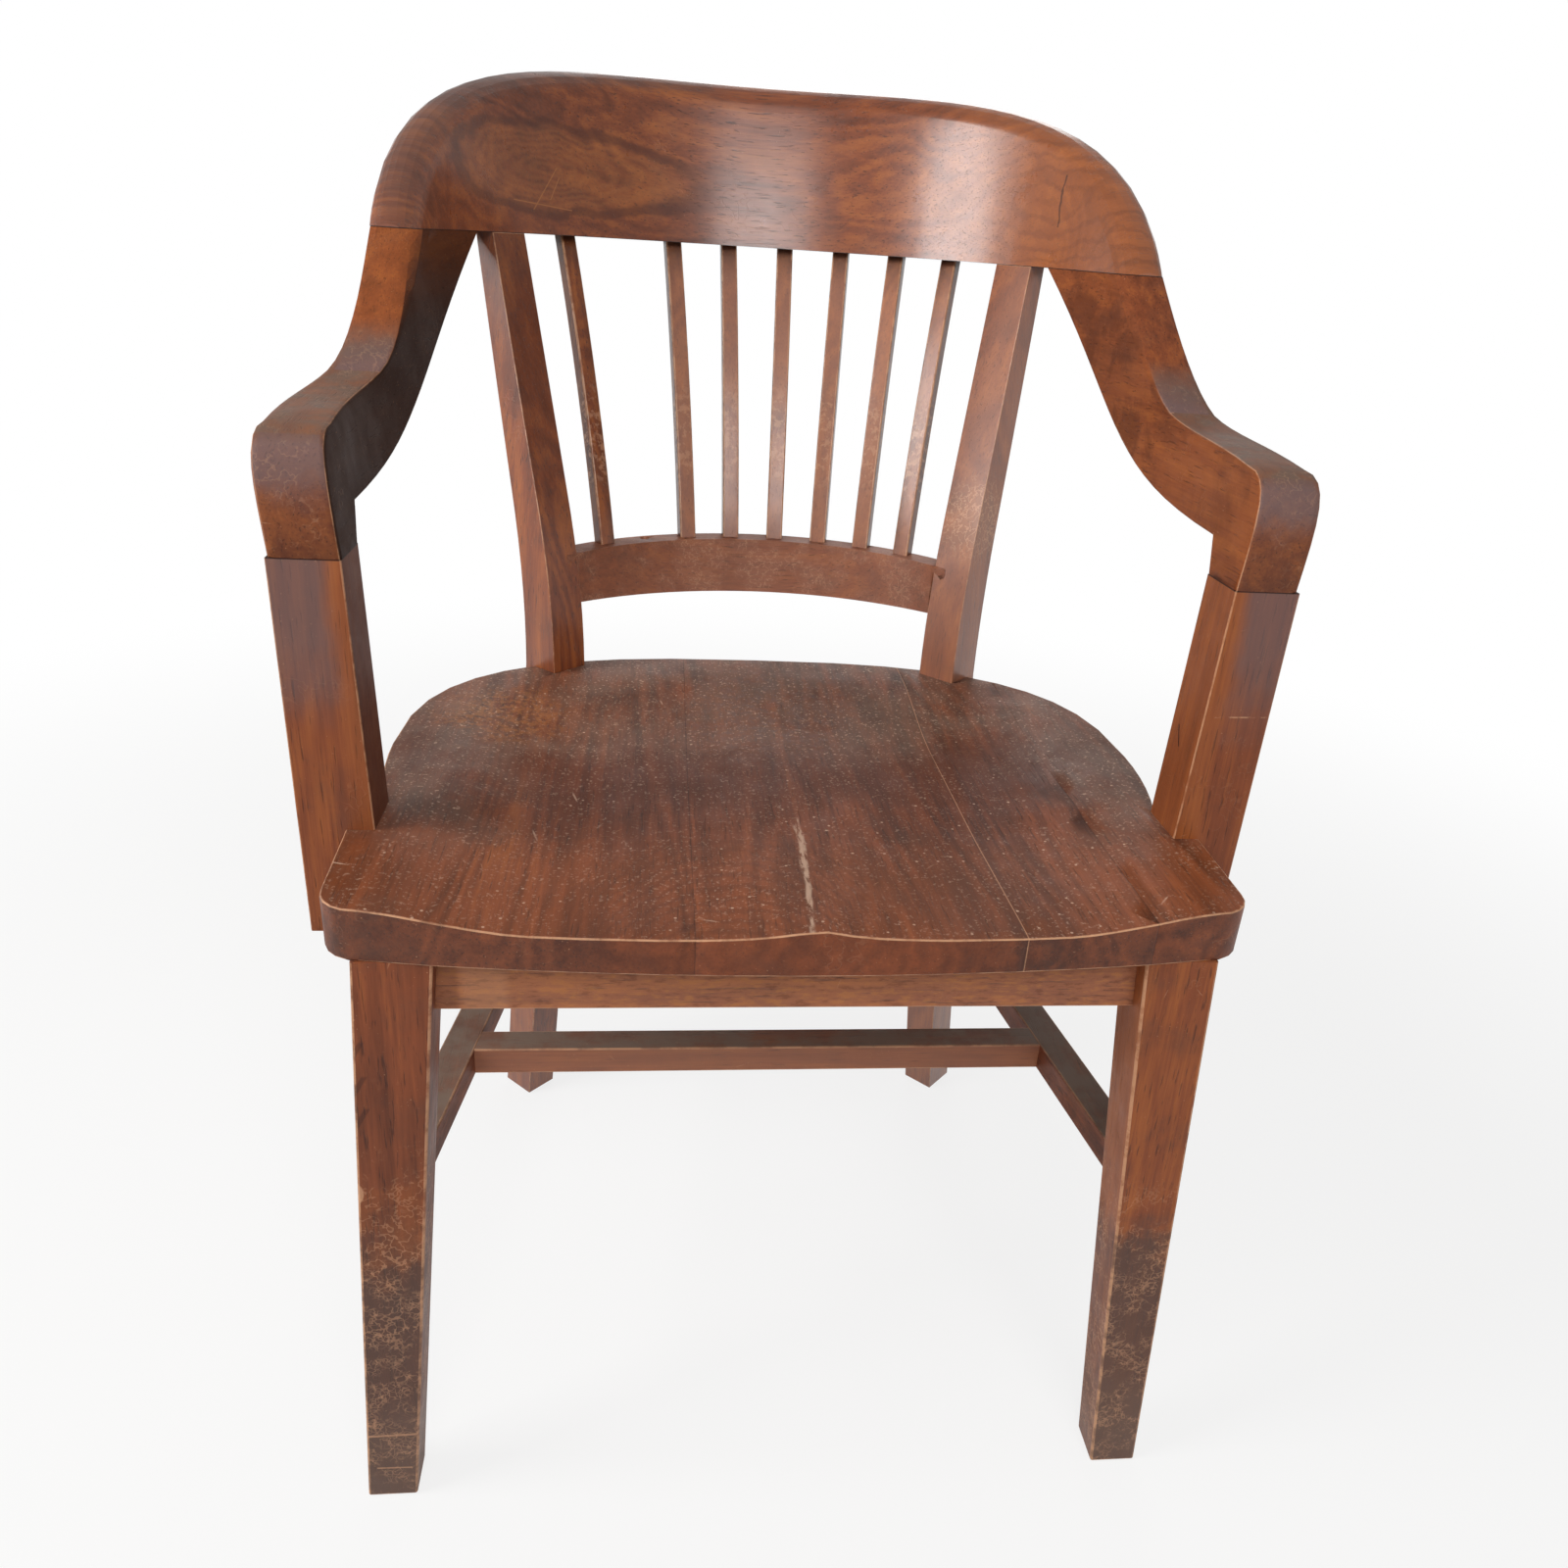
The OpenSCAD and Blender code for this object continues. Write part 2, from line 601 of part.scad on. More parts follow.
// Seat frame: four aprons between the legs, with a block screwed into each corner
side_front_set = 9;    // the apron's line, out from the middle of the front leg
side_rear_set = [6, 10];
side_start = [leg_x - leg_w / 2 + side_front_set, leg_front_y + leg_d];
side_end = seat_arris + side_rear_set;
side_dir = at_z(unit(side_end - side_start), 0);
side_out = [side_dir[1], -side_dir[0], 0];
side_turn = atan2(side_dir[1], side_dir[0]);
side_run = norm(side_end - side_start);
function side_mid_x(y) = side_start[0] + (y - side_start[1]) * side_dir[0] / side_dir[1];
front_apron_y = leg_front_y + apron_inset;
rear_apron_y = post_y + 16;
beside = 1;            // spare size of a cutting shape
far = 200;

module side_bar(over, w, h, z) {
    translate(at_z(side_start, z)) rotate([0, 0, side_turn])
        translate([-over, -w / 2, 0]) cube([side_run + 2 * over, w, h]);
}

side_over = 8;         // how far the bar is drawn on at both ends, before it is cut to the legs
module side_apron_body() {
    difference() {
        side_bar(side_over, apron_t, apron_h, apron_low);
        front_leg_body();
        rear_leg_body();
    }
}

module side_apron() {
    color(wood_dark) difference() {
        side_apron_body();
        side_apron_dowels_at() dowel_bore([0, 0, 0], side_dir);
        side_apron_rear_dowel_at() dowel_bore([0, 0, 0], side_dir);
        arm_post_screws_at() screw_bore([0, 0, 0], side_out);
        block_screws_at() screw_bore([0, 0, 0], [0, 0, 1]);
    }
}

module front_apron() {
    color(wood) difference() {
        translate([-leg_x, front_apron_y, apron_low]) cube([2 * leg_x, apron_t, apron_h]);
        both_sides() {
            front_leg_body();
            side_cut();
            front_apron_dowels_at() dowel_bore([0, 0, 0], [1, 0, 0]);
            block_screws_at() screw_bore([0, 0, 0], [0, 0, 1]);
        }
    }
}

// Everything that lies outside the inner face of the side apron
module side_cut() {
    translate(at_z(side_start, apron_low - beside)) rotate([0, 0, side_turn])
        translate([-far / 2, -apron_t / 2 - far, 0]) cube([side_run + far, far, apron_h + 2 * beside]);
}

rear_apron_cut = 12;   // how far inside the post's front arris the rear apron ends
module rear_apron() {
    color(wood_dark) difference() {
        translate([-post_x, rear_apron_y, apron_low]) cube([2 * post_x, apron_t, apron_h]);
        both_sides() {
            rear_leg_body();
            translate([post_x - rear_apron_cut, rear_apron_y - beside, apron_low - beside])
                cube([far, apron_t + 2 * beside, apron_h + 2 * beside]);
            rear_apron_dowels_at() dowel_bore([0, 0, 0], [1, 0, 0]);
            block_screws_at() screw_bore([0, 0, 0], [0, 0, 1]);
        }
    }
}

block_front_y = front_apron_y + apron_t;
side_half = apron_t / 2 / side_dir[1];
function side_in_x(y) = side_mid_x(y) - side_half;
function side_out_x(y) = side_mid_x(y) + side_half;
front_block = [[side_in_x(block_front_y) - block_w, block_front_y],
    [side_in_x(block_front_y), block_front_y],
    [side_in_x(block_front_y + block_w), block_front_y + block_w]];
rear_block_short = 10;
rear_block = [[side_in_x(rear_apron_y) - block_w + rear_block_short, rear_apron_y],
    [side_in_x(rear_apron_y - block_w), rear_apron_y - block_w], [side_in_x(rear_apron_y), rear_apron_y]];

module corner_block(end) {
    color(wood_bare) difference() {
        translate([0, 0, block_low]) linear_extrude(block_h)
            polygon(end == "front" ? front_block : rear_block);
        front_leg_body();
        rear_leg_body();
        seat_screws_at() screw_bore([0, 0, 0], [0, 0, 1], seat_screw_len);
        block_screws_at() screw_bore([0, 0, 0], [0, 0, 1]);
    }
}

// Stretchers: one along each side, tenoned into the legs, and one across
stretcher_low = stretcher_z - stretcher_h;
stretcher_front_set = [16, 7];         // inward and forward from the outer rear arris of the front leg
stretcher_rear_set = [20, 14];         // outward and back from the front arris of the back post at the seat
stretcher_start = [lerp(leg_x + leg_splay, leg_x, stretcher_z / seat_under) - stretcher_front_set[0],
    leg_front_y + leg_d - stretcher_front_set[1]];
stretcher_end = seat_arris + stretcher_rear_set;
stretcher_dir = at_z(unit(stretcher_end - stretcher_start), 0);
stretcher_turn = atan2(stretcher_dir[1], stretcher_dir[0]);
stretcher_run = norm(stretcher_end - stretcher_start);
tenon_w = 10;
tenon_h = 13;
function stretcher_x(y) =
    stretcher_start[0] + (y - stretcher_start[1]) * stretcher_dir[0] / stretcher_dir[1];

module stretcher_bar(over, w, h, z) {
    translate(at_z(stretcher_start, z)) rotate([0, 0, stretcher_turn])
        translate([-over, -w / 2, 0]) cube([stretcher_run + 2 * over, w, h]);
}

tenon_start = 4;       // the tenon's length already covered by the line of the stretcher
module stretcher_tenons(grow = 0) {
    stretcher_bar(stretcher_tenon - tenon_start + (grow > 0 ? bore_relief : 0),
        tenon_w + 2 * grow, tenon_h + 2 * grow, stretcher_low + (stretcher_h - tenon_h) / 2 - grow);
}

stretcher_over = 10;
module side_stretcher_body() {
    difference() {
        stretcher_bar(stretcher_over, stretcher_w, stretcher_h, stretcher_low);
        front_leg_body();
        rear_leg_body();
    }
}

module side_stretcher() {
    color(wood_dark) difference() {
        union() {
            side_stretcher_body();
            stretcher_tenons();
        }
        cross_tenon(fit);
    }
}

cross_mid_y = cross_y + cross_w / 2;
cross_root = 6;
module cross_tenon(grow = 0) {
    x = stretcher_x(cross_mid_y) - stretcher_w / 2;
    len = stretcher_tenon + (grow > 0 ? bore_relief : 0);
    translate([x - cross_root, cross_mid_y - tenon_w / 2 - grow,
               stretcher_low + (stretcher_h - tenon_h) / 2 - grow])
        cube([len + cross_root, tenon_w + 2 * grow, tenon_h + 2 * grow]);
}

module cross_stretcher() {
    color(wood_dark) {
        difference() {
            translate([-leg_x, cross_y, stretcher_low]) cube([2 * leg_x, cross_w, stretcher_h]);
            both_sides()
                translate(at_z(stretcher_start, stretcher_low - beside)) rotate([0, 0, stretcher_turn])
                    translate([0, -stretcher_w / 2 - far, 0])
                        cube([stretcher_run, far + stretcher_w, stretcher_h + 2 * beside]);
        }
        both_sides() cross_tenon();
    }
}

// Places of the fastenings, for the right-hand side
crest_dowel_angles = [74, 80];
module crest_dowels_at() {
    for (a = crest_dowel_angles)
        translate(at_z([0, crest_y] + polar(crest_r + crest_t / 2, a), joint_z)) children();
}

arm_dowel_inset = 12;
module arm_dowels_at() {
    for (y = [arm_y + arm_dowel_inset, arm_back_y - arm_dowel_inset])
        translate([arm_x + arm_t / 2, y, arm_joint_z]) children();
}

core_share = 0.47;     // across the post's section, a little nearer its front arris
function stile_core(z) = let (l = post_loop(z)) lerp(l[0], l[2], core_share);
stile_mid = stile_core(joint_z);
stile_dir = unit(stile_mid - stile_core(joint_z - dowel_len / 2));
module back_post_dowels_at() { translate(stile_mid) children(); }

rail_mid_z = rail_z - rail_h / 2;
rail_loop = post_loop(rail_mid_z);
rail_joint = lerp(rail_loop[0], rail_loop[3], 0.45);
rail_turn = post_turn + 6;
rail_dir = [cos(rail_turn), -sin(rail_turn), 0];
rail_dowel_gap = 0.46 * rail_h;
module rail_dowels_at() {
    for (row = [-0.5, 0.5]) translate(rail_joint + [0, 0, row * rail_dowel_gap]) children();
}

dowel_rows = [for (share = [0.28, 0.72]) apron_low + share * apron_h];
leg_in_x = leg_x - leg_w;
module front_apron_dowels_at() {
    for (z = dowel_rows) translate([leg_in_x, front_apron_y + apron_t / 2, z]) children();
}

module side_apron_dowels_at() {
    for (z = dowel_rows) translate(at_z(side_start, z)) children();
}

rear_dowel_set = 8;    // from the end of the apron's line forward to its face on the post
module side_apron_rear_dowel_at() {
    translate(at_z(side_end, apron_low + apron_h / 2) - rear_dowel_set * side_dir) children();
}

apron_loop = post_loop(apron_low + apron_h / 2);
rear_joint_x = lerp(apron_loop[0][0], apron_loop[3][0], 0.4);
module rear_apron_dowels_at() {
    for (z = dowel_rows) translate([rear_joint_x, rear_apron_y + apron_t / 2, z]) children();
}

seat_screw_grip = 14;  // how far the screws through the blocks reach into the seat
seat_screw_len = block_h + seat_screw_grip;
module seat_screws_at() {
    for (p = [(front_block[0] + front_block[1] + front_block[2]) / 3,
              (rear_block[0] + rear_block[1] + rear_block[2]) / 3])
        translate(at_z(p, block_low)) children();
}

// Two screws in each corner block: one into the front or rear apron, one into the side apron
screw_sink = 4;
screw_step = 6;        // one above and one below the middle of the block
screw_inset = 24;
module block_screws_at() {
    z = block_low + block_h / 2;
    for (b = [[front_block[0], front_block[2], -1], [rear_block[0], rear_block[1], 1]]) {
        x = b[0][0] + screw_inset;
        t = screw_inset / (b[1][0] - b[0][0]);
        y = lerp(b[0][1], b[1][1], t);
        translate([x, y, z - screw_step]) rotate([b[2] * -90, 0, 0]) translate([0, 0, screw_sink]) children();
        s = lerp(b[1], b[0], 0.3);
        translate(at_z(s, z + screw_step)) rotate([0, 90, atan2(side_out[1], side_out[0])])
            translate([0, 0, screw_sink]) children();
    }
}

module arm_post_screws_at() {
    for (z = dowel_rows) let (y = arm_y + arm_post_d / 2)
        translate([side_in_x(y), y, z]) children();
}

// Stands the chair with the middle of its depth at y = 0
chair_front_y = min(0, leg_front_y - leg_rake);
chair_back_y = max([for (p = crest_loop(0)) p[1]]);
module placed() { translate([0, -(chair_front_y + chair_back_y) / 2, 0]) children(); }

placed() crest_rail();
for (s = sides) {
    placed() on_side(s) arm();
    placed() on_side(s) arm_post();
    placed() on_side(s) back_post();
    placed() on_side(s) front_leg();
    placed() on_side(s) side_apron();
    placed() on_side(s) side_stretcher();
    placed() on_side(s) corner_block("front");
    placed() on_side(s) corner_block("rear");
}
for (i = [1:4]) {
    placed() seat_board(i);
}
for (i = kept_spindles) {
    placed() spindle(i);
}
placed() lower_back_rail();
placed() front_apron();
placed() rear_apron();
placed() cross_stretcher();
placed() both_sides() crest_dowels_at() dowel([0, 0, 0], [0, 0, 1]);  // crest_dowels
placed() both_sides() arm_dowels_at() dowel([0, 0, 0], [0, 0, 1]);  // arm_dowels
placed() both_sides() back_post_dowels_at() dowel([0, 0, 0], stile_dir);  // back_post_dowels
placed() both_sides() rail_dowels_at() dowel([0, 0, 0], rail_dir);  // rail_dowels
placed() both_sides() {  // apron_dowels
    front_apron_dowels_at() dowel([0, 0, 0], [1, 0, 0]);
    rear_apron_dowels_at() dowel([0, 0, 0], [1, 0, 0]);
    side_apron_dowels_at() dowel([0, 0, 0], side_dir);
    side_apron_rear_dowel_at() dowel([0, 0, 0], side_dir);
}
placed() both_sides() seat_screws_at() screw([0, 0, 0], [0, 0, 1], seat_screw_len);  // seat_screws
placed() both_sides() block_screws_at() screw([0, 0, 0], [0, 0, 1]);  // corner_block_screws
placed() both_sides() arm_post_screws_at() screw([0, 0, 0], side_out);  // arm_post_screws
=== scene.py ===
import math

import bmesh
import bpy
from mathutils import Matrix, Vector
from mathutils.bvhtree import BVHTree
from mathutils.kdtree import KDTree


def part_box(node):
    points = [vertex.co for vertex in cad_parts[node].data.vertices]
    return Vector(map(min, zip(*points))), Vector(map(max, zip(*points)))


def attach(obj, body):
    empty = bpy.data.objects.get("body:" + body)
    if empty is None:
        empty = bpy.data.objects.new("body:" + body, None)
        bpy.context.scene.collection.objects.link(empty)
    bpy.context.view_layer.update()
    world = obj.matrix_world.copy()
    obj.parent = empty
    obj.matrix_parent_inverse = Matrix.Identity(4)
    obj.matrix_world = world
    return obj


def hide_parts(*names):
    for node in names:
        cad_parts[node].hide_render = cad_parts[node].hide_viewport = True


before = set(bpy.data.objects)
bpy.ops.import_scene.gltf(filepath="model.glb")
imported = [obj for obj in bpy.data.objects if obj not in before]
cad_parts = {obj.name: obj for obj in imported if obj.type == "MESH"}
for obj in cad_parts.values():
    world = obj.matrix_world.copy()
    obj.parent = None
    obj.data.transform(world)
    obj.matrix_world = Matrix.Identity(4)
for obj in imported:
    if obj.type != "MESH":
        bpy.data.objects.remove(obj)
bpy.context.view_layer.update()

bpy.context.scene.view_settings.view_transform = "Standard"

MM = 0.001

# Levels and edges of the chair that its marks and joints are placed by
seat_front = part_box("seat_board_2")[0][1]
seat_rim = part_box("seat_board_1")[1][2]
glue_lines = [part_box(f"seat_board_{board}")[1][0] for board in (1, 2, 3)]
crest_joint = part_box("crest_rail")[0][2]
arm_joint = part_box("arm_left")[0][2]
arm_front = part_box("arm_left")[0][1]
arm_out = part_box("arm_right")[1][0]

# Camera: where the photograph was taken from, measured from the front edge of the seat
camera_place = Vector((-83.5 * MM, seat_front - 541.7 * MM, 781.3 * MM))
camera_turn = math.radians(6.879)
camera_tilt = math.radians(24.762)
camera_roll = math.radians(3.787)
camera_lens = 27.27
sensor_width = 36

camera_data = bpy.data.cameras.new("camera")
camera_data.lens = camera_lens
camera_data.sensor_width = sensor_width
camera = bpy.data.objects.new("camera", camera_data)
bpy.context.scene.collection.objects.link(camera)
forward = Vector((math.sin(camera_turn) * math.cos(camera_tilt),
                  math.cos(camera_turn) * math.cos(camera_tilt),
                  -math.sin(camera_tilt)))
level_right = Vector((math.cos(camera_turn), -math.sin(camera_turn), 0))
level_up = level_right.cross(forward)
right = math.cos(camera_roll) * level_right + math.sin(camera_roll) * level_up
up = math.cos(camera_roll) * level_up - math.sin(camera_roll) * level_right
camera_axes = Matrix((right, up, -forward)).transposed().to_4x4()
camera.matrix_world = Matrix.Translation(camera_place) @ camera_axes
bpy.context.scene.camera = camera


# Helpers that make the nodes of a material from plain arithmetic
class Value:
    """A number that changes over the surface: arithmetic on it adds Math nodes."""

    def __init__(self, nodes, socket):
        self.nodes = nodes
        self.socket = socket

    def math(self, operation, *values):
        sockets = dict(enumerate(values))
        return Value(self.nodes, self.nodes.node("ShaderNodeMath", {"operation": operation}, sockets)[0])

    def __add__(self, other):
        return self.math("ADD", self, other)

    def __sub__(self, other):
        return self.math("SUBTRACT", self, other)

    def __rsub__(self, other):
        return self.math("SUBTRACT", other, self)

    def __mul__(self, other):
        return self.math("MULTIPLY", self, other)

    __radd__ = __add__
    __rmul__ = __mul__

    def size(self):
        return self.math("ABSOLUTE", self)

    def root(self):
        return self.math("SQRT", self)

    def wave(self):
        """A wave between 0 and 1."""
        return self.math("SINE", self) * 0.5 + 0.5

    def clamped(self):
        return self.math("MINIMUM", self.math("MAXIMUM", self, 0.0), 1.0)

    def between(self, low, high):
        """0 at low, 1 at high, smooth between."""
        settings = {"interpolation_type": "SMOOTHSTEP"}
        sockets = {"Value": self, "From Min": low, "From Max": high}
        return Value(self.nodes, self.nodes.node("ShaderNodeMapRange", settings, sockets)[0])

    def within(self, low, high, soft):
        """1 from low to high, fading out over a distance on either side."""
        return self.between(low - soft, low) * (1 - self.between(high, high + soft))


class Nodes:
    """Makes the nodes of a material or of the world."""

    def __init__(self, tree):
        self.tree = tree

    def node(self, kind, settings, sockets):
        """Adds a node with its settings first, then the values or links of its sockets."""
        made = self.tree.nodes.new(kind)
        for key, setting in settings.items():
            if key == "stops":
                self.set_stops(made.color_ramp, setting)
            else:
                setattr(made, key, setting)
        for key, value in sockets.items():
            self.set(made.inputs[key], value)
        return made.outputs

    def set_stops(self, ramp, stops):
        for position, colour in stops[1:-1]:
            ramp.elements.new(position).color = (*colour, 1)
        for end in (0, -1):
            ramp.elements[end].position = stops[end][0]
            ramp.elements[end].color = (*stops[end][1], 1)

    def set(self, socket, value):
        if isinstance(value, Value):
            value = value.socket
        if isinstance(value, bpy.types.NodeSocket):
            self.tree.links.new(value, socket)
        elif isinstance(value, tuple) and len(socket.default_value) == 4:
            socket.default_value = (*value, 1)
        else:
            socket.default_value = value

    def split(self, vector):
        """The three numbers of a vector."""
        outputs = self.node("ShaderNodeSeparateXYZ", {}, {0: vector})
        return [Value(self, output) for output in outputs]

    def seen(self):
        """Two values: 1 for what the camera sees straight, and 1 for what it sees in a gloss or glass."""
        rays = self.node("ShaderNodeLightPath", {}, {})
        straight = Value(self, rays["Is Camera Ray"])
        mirrored = Value(self, rays["Is Glossy Ray"]) + Value(self, rays["Is Transmission Ray"])
        return straight, mirrored.clamped()


COAT_ROUGHNESS = 0.24
BUMP_STRENGTH = 0.6
SCRATCH_SLANTS = (18, -47, 74)
SCRATCH_STRETCH = 0.09


# Helpers for the patterns of wood and varnish
class Shader(Nodes):
    """A node material that reads Object coordinates and the marks written on a dressed piece."""

    def __init__(self, name):
        self.material = bpy.data.materials.new(name)
        self.material.use_nodes = True
        super().__init__(self.material.node_tree)
        self.bsdf = self.tree.nodes["Principled BSDF"]
        self.place = self.node("ShaderNodeTexCoord", {}, {})["Object"]
        self.x, self.y, self.z = self.split(self.place)
        self.depth = self.y - seat_front
        facing = self.node("ShaderNodeAttribute", {"attribute_name": "facing"}, {})["Vector"]
        self.facing_right, self.facing_back, self.facing_up = self.split(facing)

    def faces_front(self, low=0.5, high=0.8):
        """1 on faces that look to the front, smooth between two shares of the whole turn."""
        return (self.facing_back * -1.0).between(low, high)

    def arris(self):
        """1 on the rounded arrises of a dressed piece."""
        return Value(self, self.node("ShaderNodeAttribute", {"attribute_name": "arris"}, {})["Fac"])

    def distance(self, spot):
        """How far the surface is from a spot on the chair."""
        sockets = {0: self.place, 1: spot}
        return Value(self, self.node("ShaderNodeVectorMath", {"operation": "DISTANCE"}, sockets)["Value"])

    def mapped(self, vector, scale=(1, 1, 1), turn=(0, 0, 0), shift=(0, 0, 0)):
        sockets = {"Vector": vector, "Scale": scale, "Rotation": turn, "Location": shift}
        return self.node("ShaderNodeMapping", {}, sockets)["Vector"]

    def noise(self, vector, scale, detail=3.0, rough=0.5, distortion=0.0):
        sockets = {"Vector": vector, "Scale": scale, "Detail": detail, "Roughness": rough,
                   "Distortion": distortion}
        return Value(self, self.node("ShaderNodeTexNoise", {}, sockets)[0])

    def cells(self, vector, scale, feature):
        sockets = {"Vector": vector, "Scale": scale}
        return Value(self, self.node("ShaderNodeTexVoronoi", {"feature": feature}, sockets)["Distance"])

    def wobbled(self, vector, scale, amount):
        """The same coordinates, pushed about by a noise."""
        sockets = {"Vector": vector, "Scale": scale, "Detail": 2.0}
        push = self.node("ShaderNodeTexNoise", {}, sockets)["Color"]
        sockets = {0: push, 1: (amount,) * 3, 2: vector}
        return self.node("ShaderNodeVectorMath", {"operation": "MULTIPLY_ADD"}, sockets)[0]

    def ramp(self, value, stops):
        return self.node("ShaderNodeValToRGB", {"stops": stops}, {0: value})["Color"]

    def mix(self, share, first, second):
        settings = {"data_type": "RGBA", "blend_type": "MIX", "clamp_factor": True}
        return self.node("ShaderNodeMix", settings, {0: share, 6: first, 7: second})[2]

    def curls(self, scale, width, patch):
        """Thin curling lines, such as varnish that has lifted, inside patches of a noise."""
        line = 1 - (self.noise(self.place, scale, 2.0, 0.6) - 0.5).size().between(width * 0.3, width)
        return line * patch

    def scratches(self, plane, length, width, patch):
        """Short straight scratches at three slants, in the plane across one axis."""
        total = 0.0
        for slant in SCRATCH_SLANTS:
            turn = [0, 0, 0]
            turn[plane] = math.radians(slant)
            turned = self.mapped(self.place, turn=turn, shift=(slant, 0, 0))
            needle = self.cells(self.mapped(turned, scale=(SCRATCH_STRETCH, 1, 1)), 1 / length, "F1")
            total = (1 - needle.between(width / length * 0.5, width / length)) + total
        return (total * patch).clamped()

    def finish(self, colour, roughness, height, depth, specular=0.3, metallic=0.0, coat=0.0):
        inputs = self.bsdf.inputs
        self.set(inputs["Base Color"], colour)
        self.set(inputs["Roughness"], roughness)
        if height is not None:
            sockets = {"Height": height, "Distance": depth, "Strength": BUMP_STRENGTH}
            self.set(inputs["Normal"], self.node("ShaderNodeBump", {}, sockets)["Normal"])
        inputs["Specular IOR Level"].default_value = specular
        inputs["Metallic"].default_value = metallic
        inputs["Coat Weight"].default_value = coat
        inputs["Coat Roughness"].default_value = COAT_ROUGHNESS
        return self.material


# Colours of the wood, from the pores to the bare worn arrises; some also serve for painted shade, light and
# sheen
PORE = (0.016, 0.005, 0.003)
BLACK_STAIN_AND_PAINTED_SHADE = (0.022, 0.009, 0.005)
DARK_STAIN_AND_PAINTED_SHADE = (0.080, 0.020, 0.008)
RED_STAIN = (0.225, 0.058, 0.020)
ORANGE_STAIN_AND_PAINTED_LIGHT = (0.420, 0.125, 0.030)
GOLDEN = (0.520, 0.200, 0.055)
WORN = (0.640, 0.340, 0.190)
SCRATCH = (0.600, 0.400, 0.280)
DUST = (0.230, 0.172, 0.132)
SMOKE = (0.080, 0.046, 0.036)
BLUE_SMOKE_AND_PAINTED_SHEEN = (0.150, 0.108, 0.108)
GREY_WORN = (0.160, 0.100, 0.074)
PINK_WORN = (0.560, 0.300, 0.210)
BARE_WOOD = (0.50, 0.33, 0.18)

# Colours of the screws and of the room
BRIGHT_STEEL = (0.45, 0.45, 0.46)
DULL_STEEL = (0.20, 0.18, 0.17)
PALE_PAINT = (0.74, 0.73, 0.71)
WHITE = (1.0, 1.0, 1.0)

# Which way the grain runs: a turn that brings it onto the X axis
ALONG_X = (0, 0, 0)
ALONG_Y = (0, 0, math.radians(-90))
ALONG_Z = (0, math.radians(90), 0)
# The axis that the scratches lie across: level faces or front faces
LEVEL = 2
FRONT = 1

# Lengths of the wear that all the wood shares
FINE_SCRATCH = 7 * MM
FINE_SCRATCH_WIDTH = 0.42 * MM
VARNISH_DEPTH = 0.35 * MM
STEEL_DEPTH = 0.05 * MM
WORN_ALL_OVER = 2.0
WORN_FADE = 50 * MM


def wood(name, grain, tone, marks, figure=0.5, wear=0.5, dull=0.42, grime=0.3, plane=FRONT, coat=0.0,
         specular=0.3, shift=0.0, worn_to=WORN_ALL_OVER):
    """Stained wood under old varnish.

    tone runs from dark brown at 0 to orange at 1, dull is the roughness of the varnish, and worn_to is
    the height up to which the arrises are worn.
    """
    s = Shader(name)
    turned = s.mapped(s.place, turn=grain, shift=(shift, 0.37 * shift, 0.71 * shift))

    def along(stretch, scale, detail=3.0, rough=0.5, distortion=0.0):
        return s.noise(s.mapped(turned, scale=(1 / stretch, 1, 1)), scale, detail, rough, distortion)

    broad = along(7, 10, 2.0, 0.5, 0.3)
    streaks = along(26, 95, 4.0, 0.65, 0.2)
    rings = (broad * 95.0 + streaks * 3.0).wave()
    fibres = along(34, 520, 3.0, 0.65)
    pores = along(16, 760, 2.0, 0.5).between(0.60, 0.70)
    blotch = s.noise(s.place, 8.0, 4.0, 0.6, 0.3)
    level = (broad - 0.5) * 0.55 + (streaks - 0.5) * 0.95 + (rings - 0.5) * (0.26 * figure)
    level = level + (fibres - 0.5) * 0.60 + (blotch - 0.5) * 0.55 + tone
    colour = s.ramp(level.clamped(), [(0.0, DARK_STAIN_AND_PAINTED_SHADE), (0.5, RED_STAIN), (1.0, ORANGE_STAIN_AND_PAINTED_LIGHT)])
    colour = s.mix(pores * 0.55, colour, PORE)

    dirt = s.noise(s.place, 21, 6.0, 0.68)
    colour = s.mix(dirt.between(0.48, 0.72) * grime, colour, SMOKE)
    colour = marks(s, colour)

    rubbed = s.noise(s.place, 38, 5.0, 0.7)
    specks = s.noise(s.place, 620, 2.0, 0.5).between(0.70, 0.76) * rubbed.between(0.35, 0.60)
    lines = s.scratches(plane, FINE_SCRATCH, FINE_SCRATCH_WIDTH, rubbed.between(0.46, 0.56))
    curls = s.curls(75, 0.020, s.noise(s.place, 24, 3.0, 0.6).between(0.56, 0.68))
    worn = (specks * 0.60 + lines * 0.45 + curls * 0.12) * wear
    rubbed_arris = s.noise(s.place, 60, 4.0, 0.7).between(0.36, 0.58) * 0.75 + 0.25
    below = 1 - s.z.between(worn_to - WORN_FADE, worn_to)
    arris = s.arris() * rubbed_arris * below * (0.28 + wear * 0.62)
    colour = s.mix((worn + arris).clamped(), colour, WORN)

    rough = (dirt - 0.5) * 0.45 + (rubbed - 0.5) * 0.2 + worn * 0.2 + dull
    height = fibres * 0.4 + streaks * 0.4 - pores * 0.9 - lines * 0.7 + curls * 0.6 + (dirt - 0.5) * 0.8
    return s.finish(colour, rough.clamped(), height, VARNISH_DEPTH, specular=specular, coat=coat)


# Marks of each part, some of them painted light and shade: s is its shader, and colour the wood's colour
# before the marks
def joint_line(s, colour, level):
    """The dark hairline where two parts meet at one height."""
    gap = 1 - (s.z - level).size().between(0.20 * MM, 0.55 * MM)
    return s.mix(gap * 0.9, colour, PORE)


def stroke(run, across, start, end, offset, slope, width):
    """One straight scratch: where across keeps to a line, for run between its two ends."""
    line = 1 - (across - (run - start) * slope - offset).size().between(width * 0.5, width)
    return line * run.within(start, end, width)


